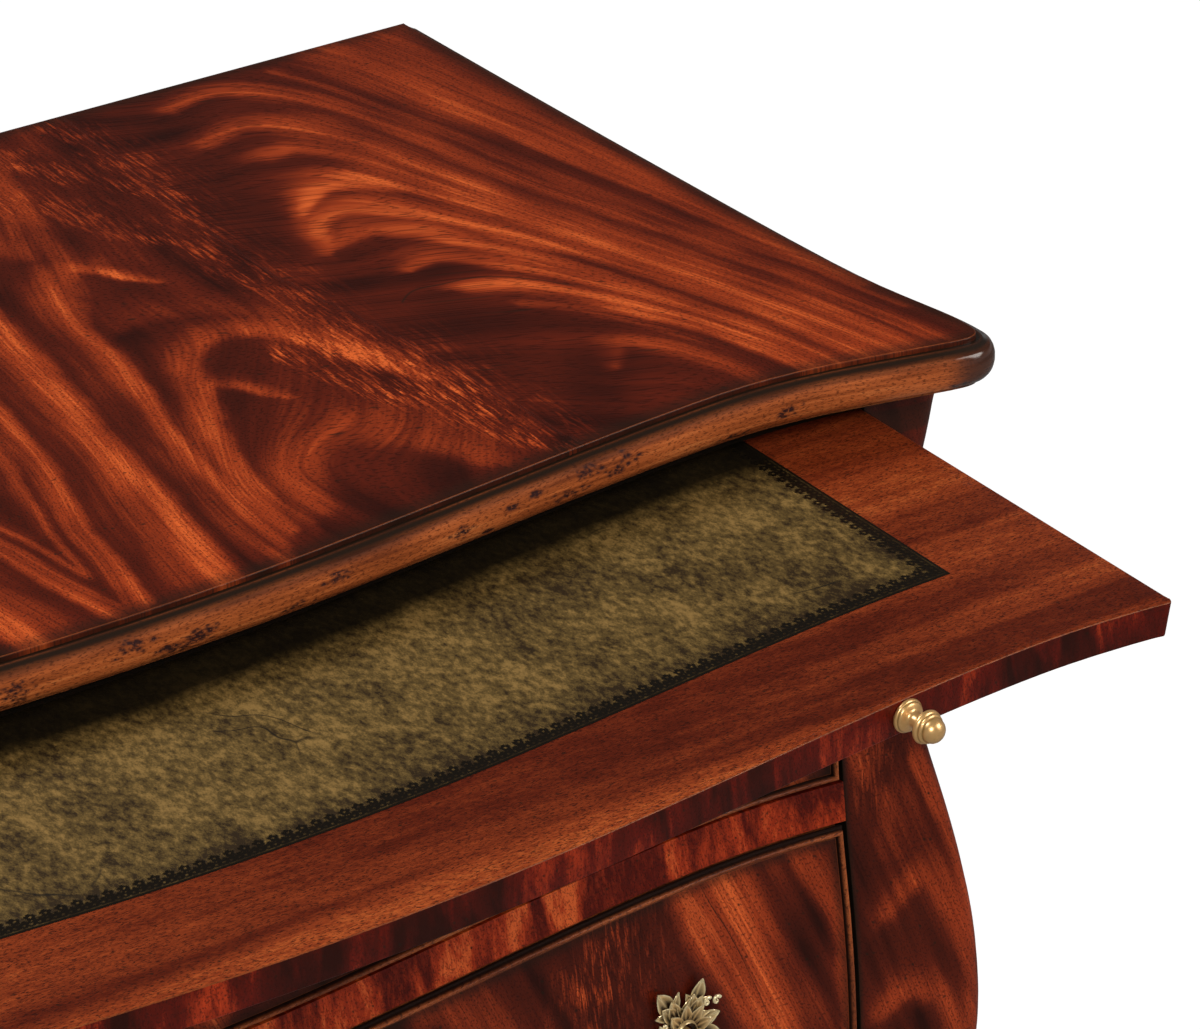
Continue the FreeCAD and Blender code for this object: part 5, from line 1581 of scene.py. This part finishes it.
def studio(s):
    """Pale floor, soft lamps and the camera."""
    scene = bpy.context.scene
    scene.view_settings.view_transform = "Standard"
    scene.world = studio_air(s)
    ring = [(FLOOR_RADIUS * math.cos(a), FLOOR_RADIUS * math.sin(a), FLOOR_LEVEL)
            for a in np.linspace(0, 2 * math.pi, 64, endpoint=False)]
    mesh = new_mesh("floor", ring, [tuple(range(len(ring)))])
    mesh.materials.append(studio_floor())
    add_object("floor", mesh)
    area_light("key_lamp", (-1.7, -2.5, 2.9), 1.3, s.key_watts, "fffaf2")
    area_light("fill_lamp", (2.2, -2.2, 2.6), 1.8, s.fill_watts, "fff8f0")
    area_light("high_lamp", (-1.2, 1.5, 3.3), 1.4, s.high_watts)
    data = bpy.data.cameras.new("camera")
    data.lens, data.sensor_width = CAMERA_LENS, CAMERA_SENSOR
    camera = add_object("camera", data)
    camera.location = CAMERA_PLACE
    camera.rotation_euler = [math.radians(a) for a in CAMERA_TURNS]
    scene.camera = camera


# ---- Operators --------------------------------------------------------------------------
class ChestPiece:
    """Shared parts of the operators."""
    bl_options = {"REGISTER", "UNDO"}

    def execute(self, context):
        self.build(context.scene.chest)
        return {"FINISHED"}


class CHEST_OT_core(ChestPiece, bpy.types.Operator):
    """Give every solid of the chest the finish of its slot"""
    bl_idname = "chest.core"
    bl_label = "Finish the solids"

    def build(self, s):
        finishes = {"figured_mahogany": plain_mahogany, "solid_mahogany": plain_mahogany,
                    "crossbanded_mahogany": crossbanded_mahogany,
                    "straight_grain_mahogany": straight_mahogany,
                    "green_leather": tooled_leather, "antique_brass": turned_brass,
                    "secondary_wood": inside_wood, "screw_steel": screw_steel}
        for name, node in NODES.items():
            # The top rail and the stiles' solids take the near-black finish as painted shade.
            shaded = name == "top_rail" or name.startswith("stile_")
            for slot in node.material_slots:
                slot.material = (shade_painted_mahogany if shaded else finishes[slot_of(name)])()


class CHEST_OT_top(ChestPiece, bpy.types.Operator):
    """Build the book-matched top and the moulding round it"""
    bl_idname = "chest.top"
    bl_label = "Build the top"

    def build(self, s):
        top_panel(s)
        top_moulding(s)


class CHEST_OT_case(ChestPiece, bpy.types.Operator):
    """Lay the veneers of the stiles and sides"""
    bl_idname = "chest.case"
    bl_label = "Veneer the case"

    def build(self, s):
        for side in ("right", "left"):
            stile_veneer(side, s)
            side_veneer(side, s)


class CHEST_OT_slide(ChestPiece, bpy.types.Operator):
    """Build the brushing slide, its lipping and its tooled leather"""
    bl_idname = "chest.slide"
    bl_label = "Build the slide"

    def build(self, s):
        slide_board(s)
        slide_lipping(s)
        slide_leather(s)


class CHEST_OT_drawers(ChestPiece, bpy.types.Operator):
    """Veneer the drawer fronts and let in their cock-beads"""
    bl_idname = "chest.drawers"
    bl_label = "Build the drawer fronts"

    def build(self, s):
        case_front = CaseFront()
        for drawer in DRAWERS:
            drawer_front(drawer, case_front, s)
            cock_bead(drawer, case_front, s)


class CHEST_OT_handles(ChestPiece, bpy.types.Operator):
    """Cast the leafy rosettes of the handles and turn the slide's knobs"""
    bl_idname = "chest.handles"
    bl_label = "Build the handles"

    def build(self, s):
        case_front = CaseFront()
        for drawer in DRAWERS:
            drawer_handles(drawer, case_front, s)
        for side in ("right", "left"):
            slide_knob(side, s)


class CHEST_OT_stage(ChestPiece, bpy.types.Operator):
    """Set up the floor, the lamps and the camera"""
    bl_idname = "chest.stage"
    bl_label = "Set the stage"

    def build(self, s):
        studio(s)


OPERATORS = (CHEST_OT_core, CHEST_OT_top, CHEST_OT_case, CHEST_OT_slide, CHEST_OT_drawers,
             CHEST_OT_handles, CHEST_OT_stage)


class CHEST_PT_panel(bpy.types.Panel):
    """Sizes and colours of the chest, and its pieces in building order."""
    bl_idname = "CHEST_PT_panel"
    bl_label = "Bombe chest"
    bl_space_type = "VIEW_3D"
    bl_region_type = "UI"
    bl_category = "Chest"

    def draw(self, context):
        for operator in OPERATORS:
            self.layout.operator(operator.bl_idname)
        for name in ChestSettings.__annotations__:
            self.layout.prop(context.scene.chest, name)


CLASSES = (ChestSettings, *OPERATORS, CHEST_PT_panel)


def register():
    for cls in CLASSES:
        bpy.utils.register_class(cls)
    bpy.types.Scene.chest = PointerProperty(type=ChestSettings)


def unregister():
    del bpy.types.Scene.chest
    for cls in reversed(CLASSES):
        bpy.utils.unregister_class(cls)


def main():
    register()
    for operator in OPERATORS:
        group, name = operator.bl_idname.split(".")
        getattr(getattr(bpy.ops, group), name)()


if __name__ == "__main__":
    main()
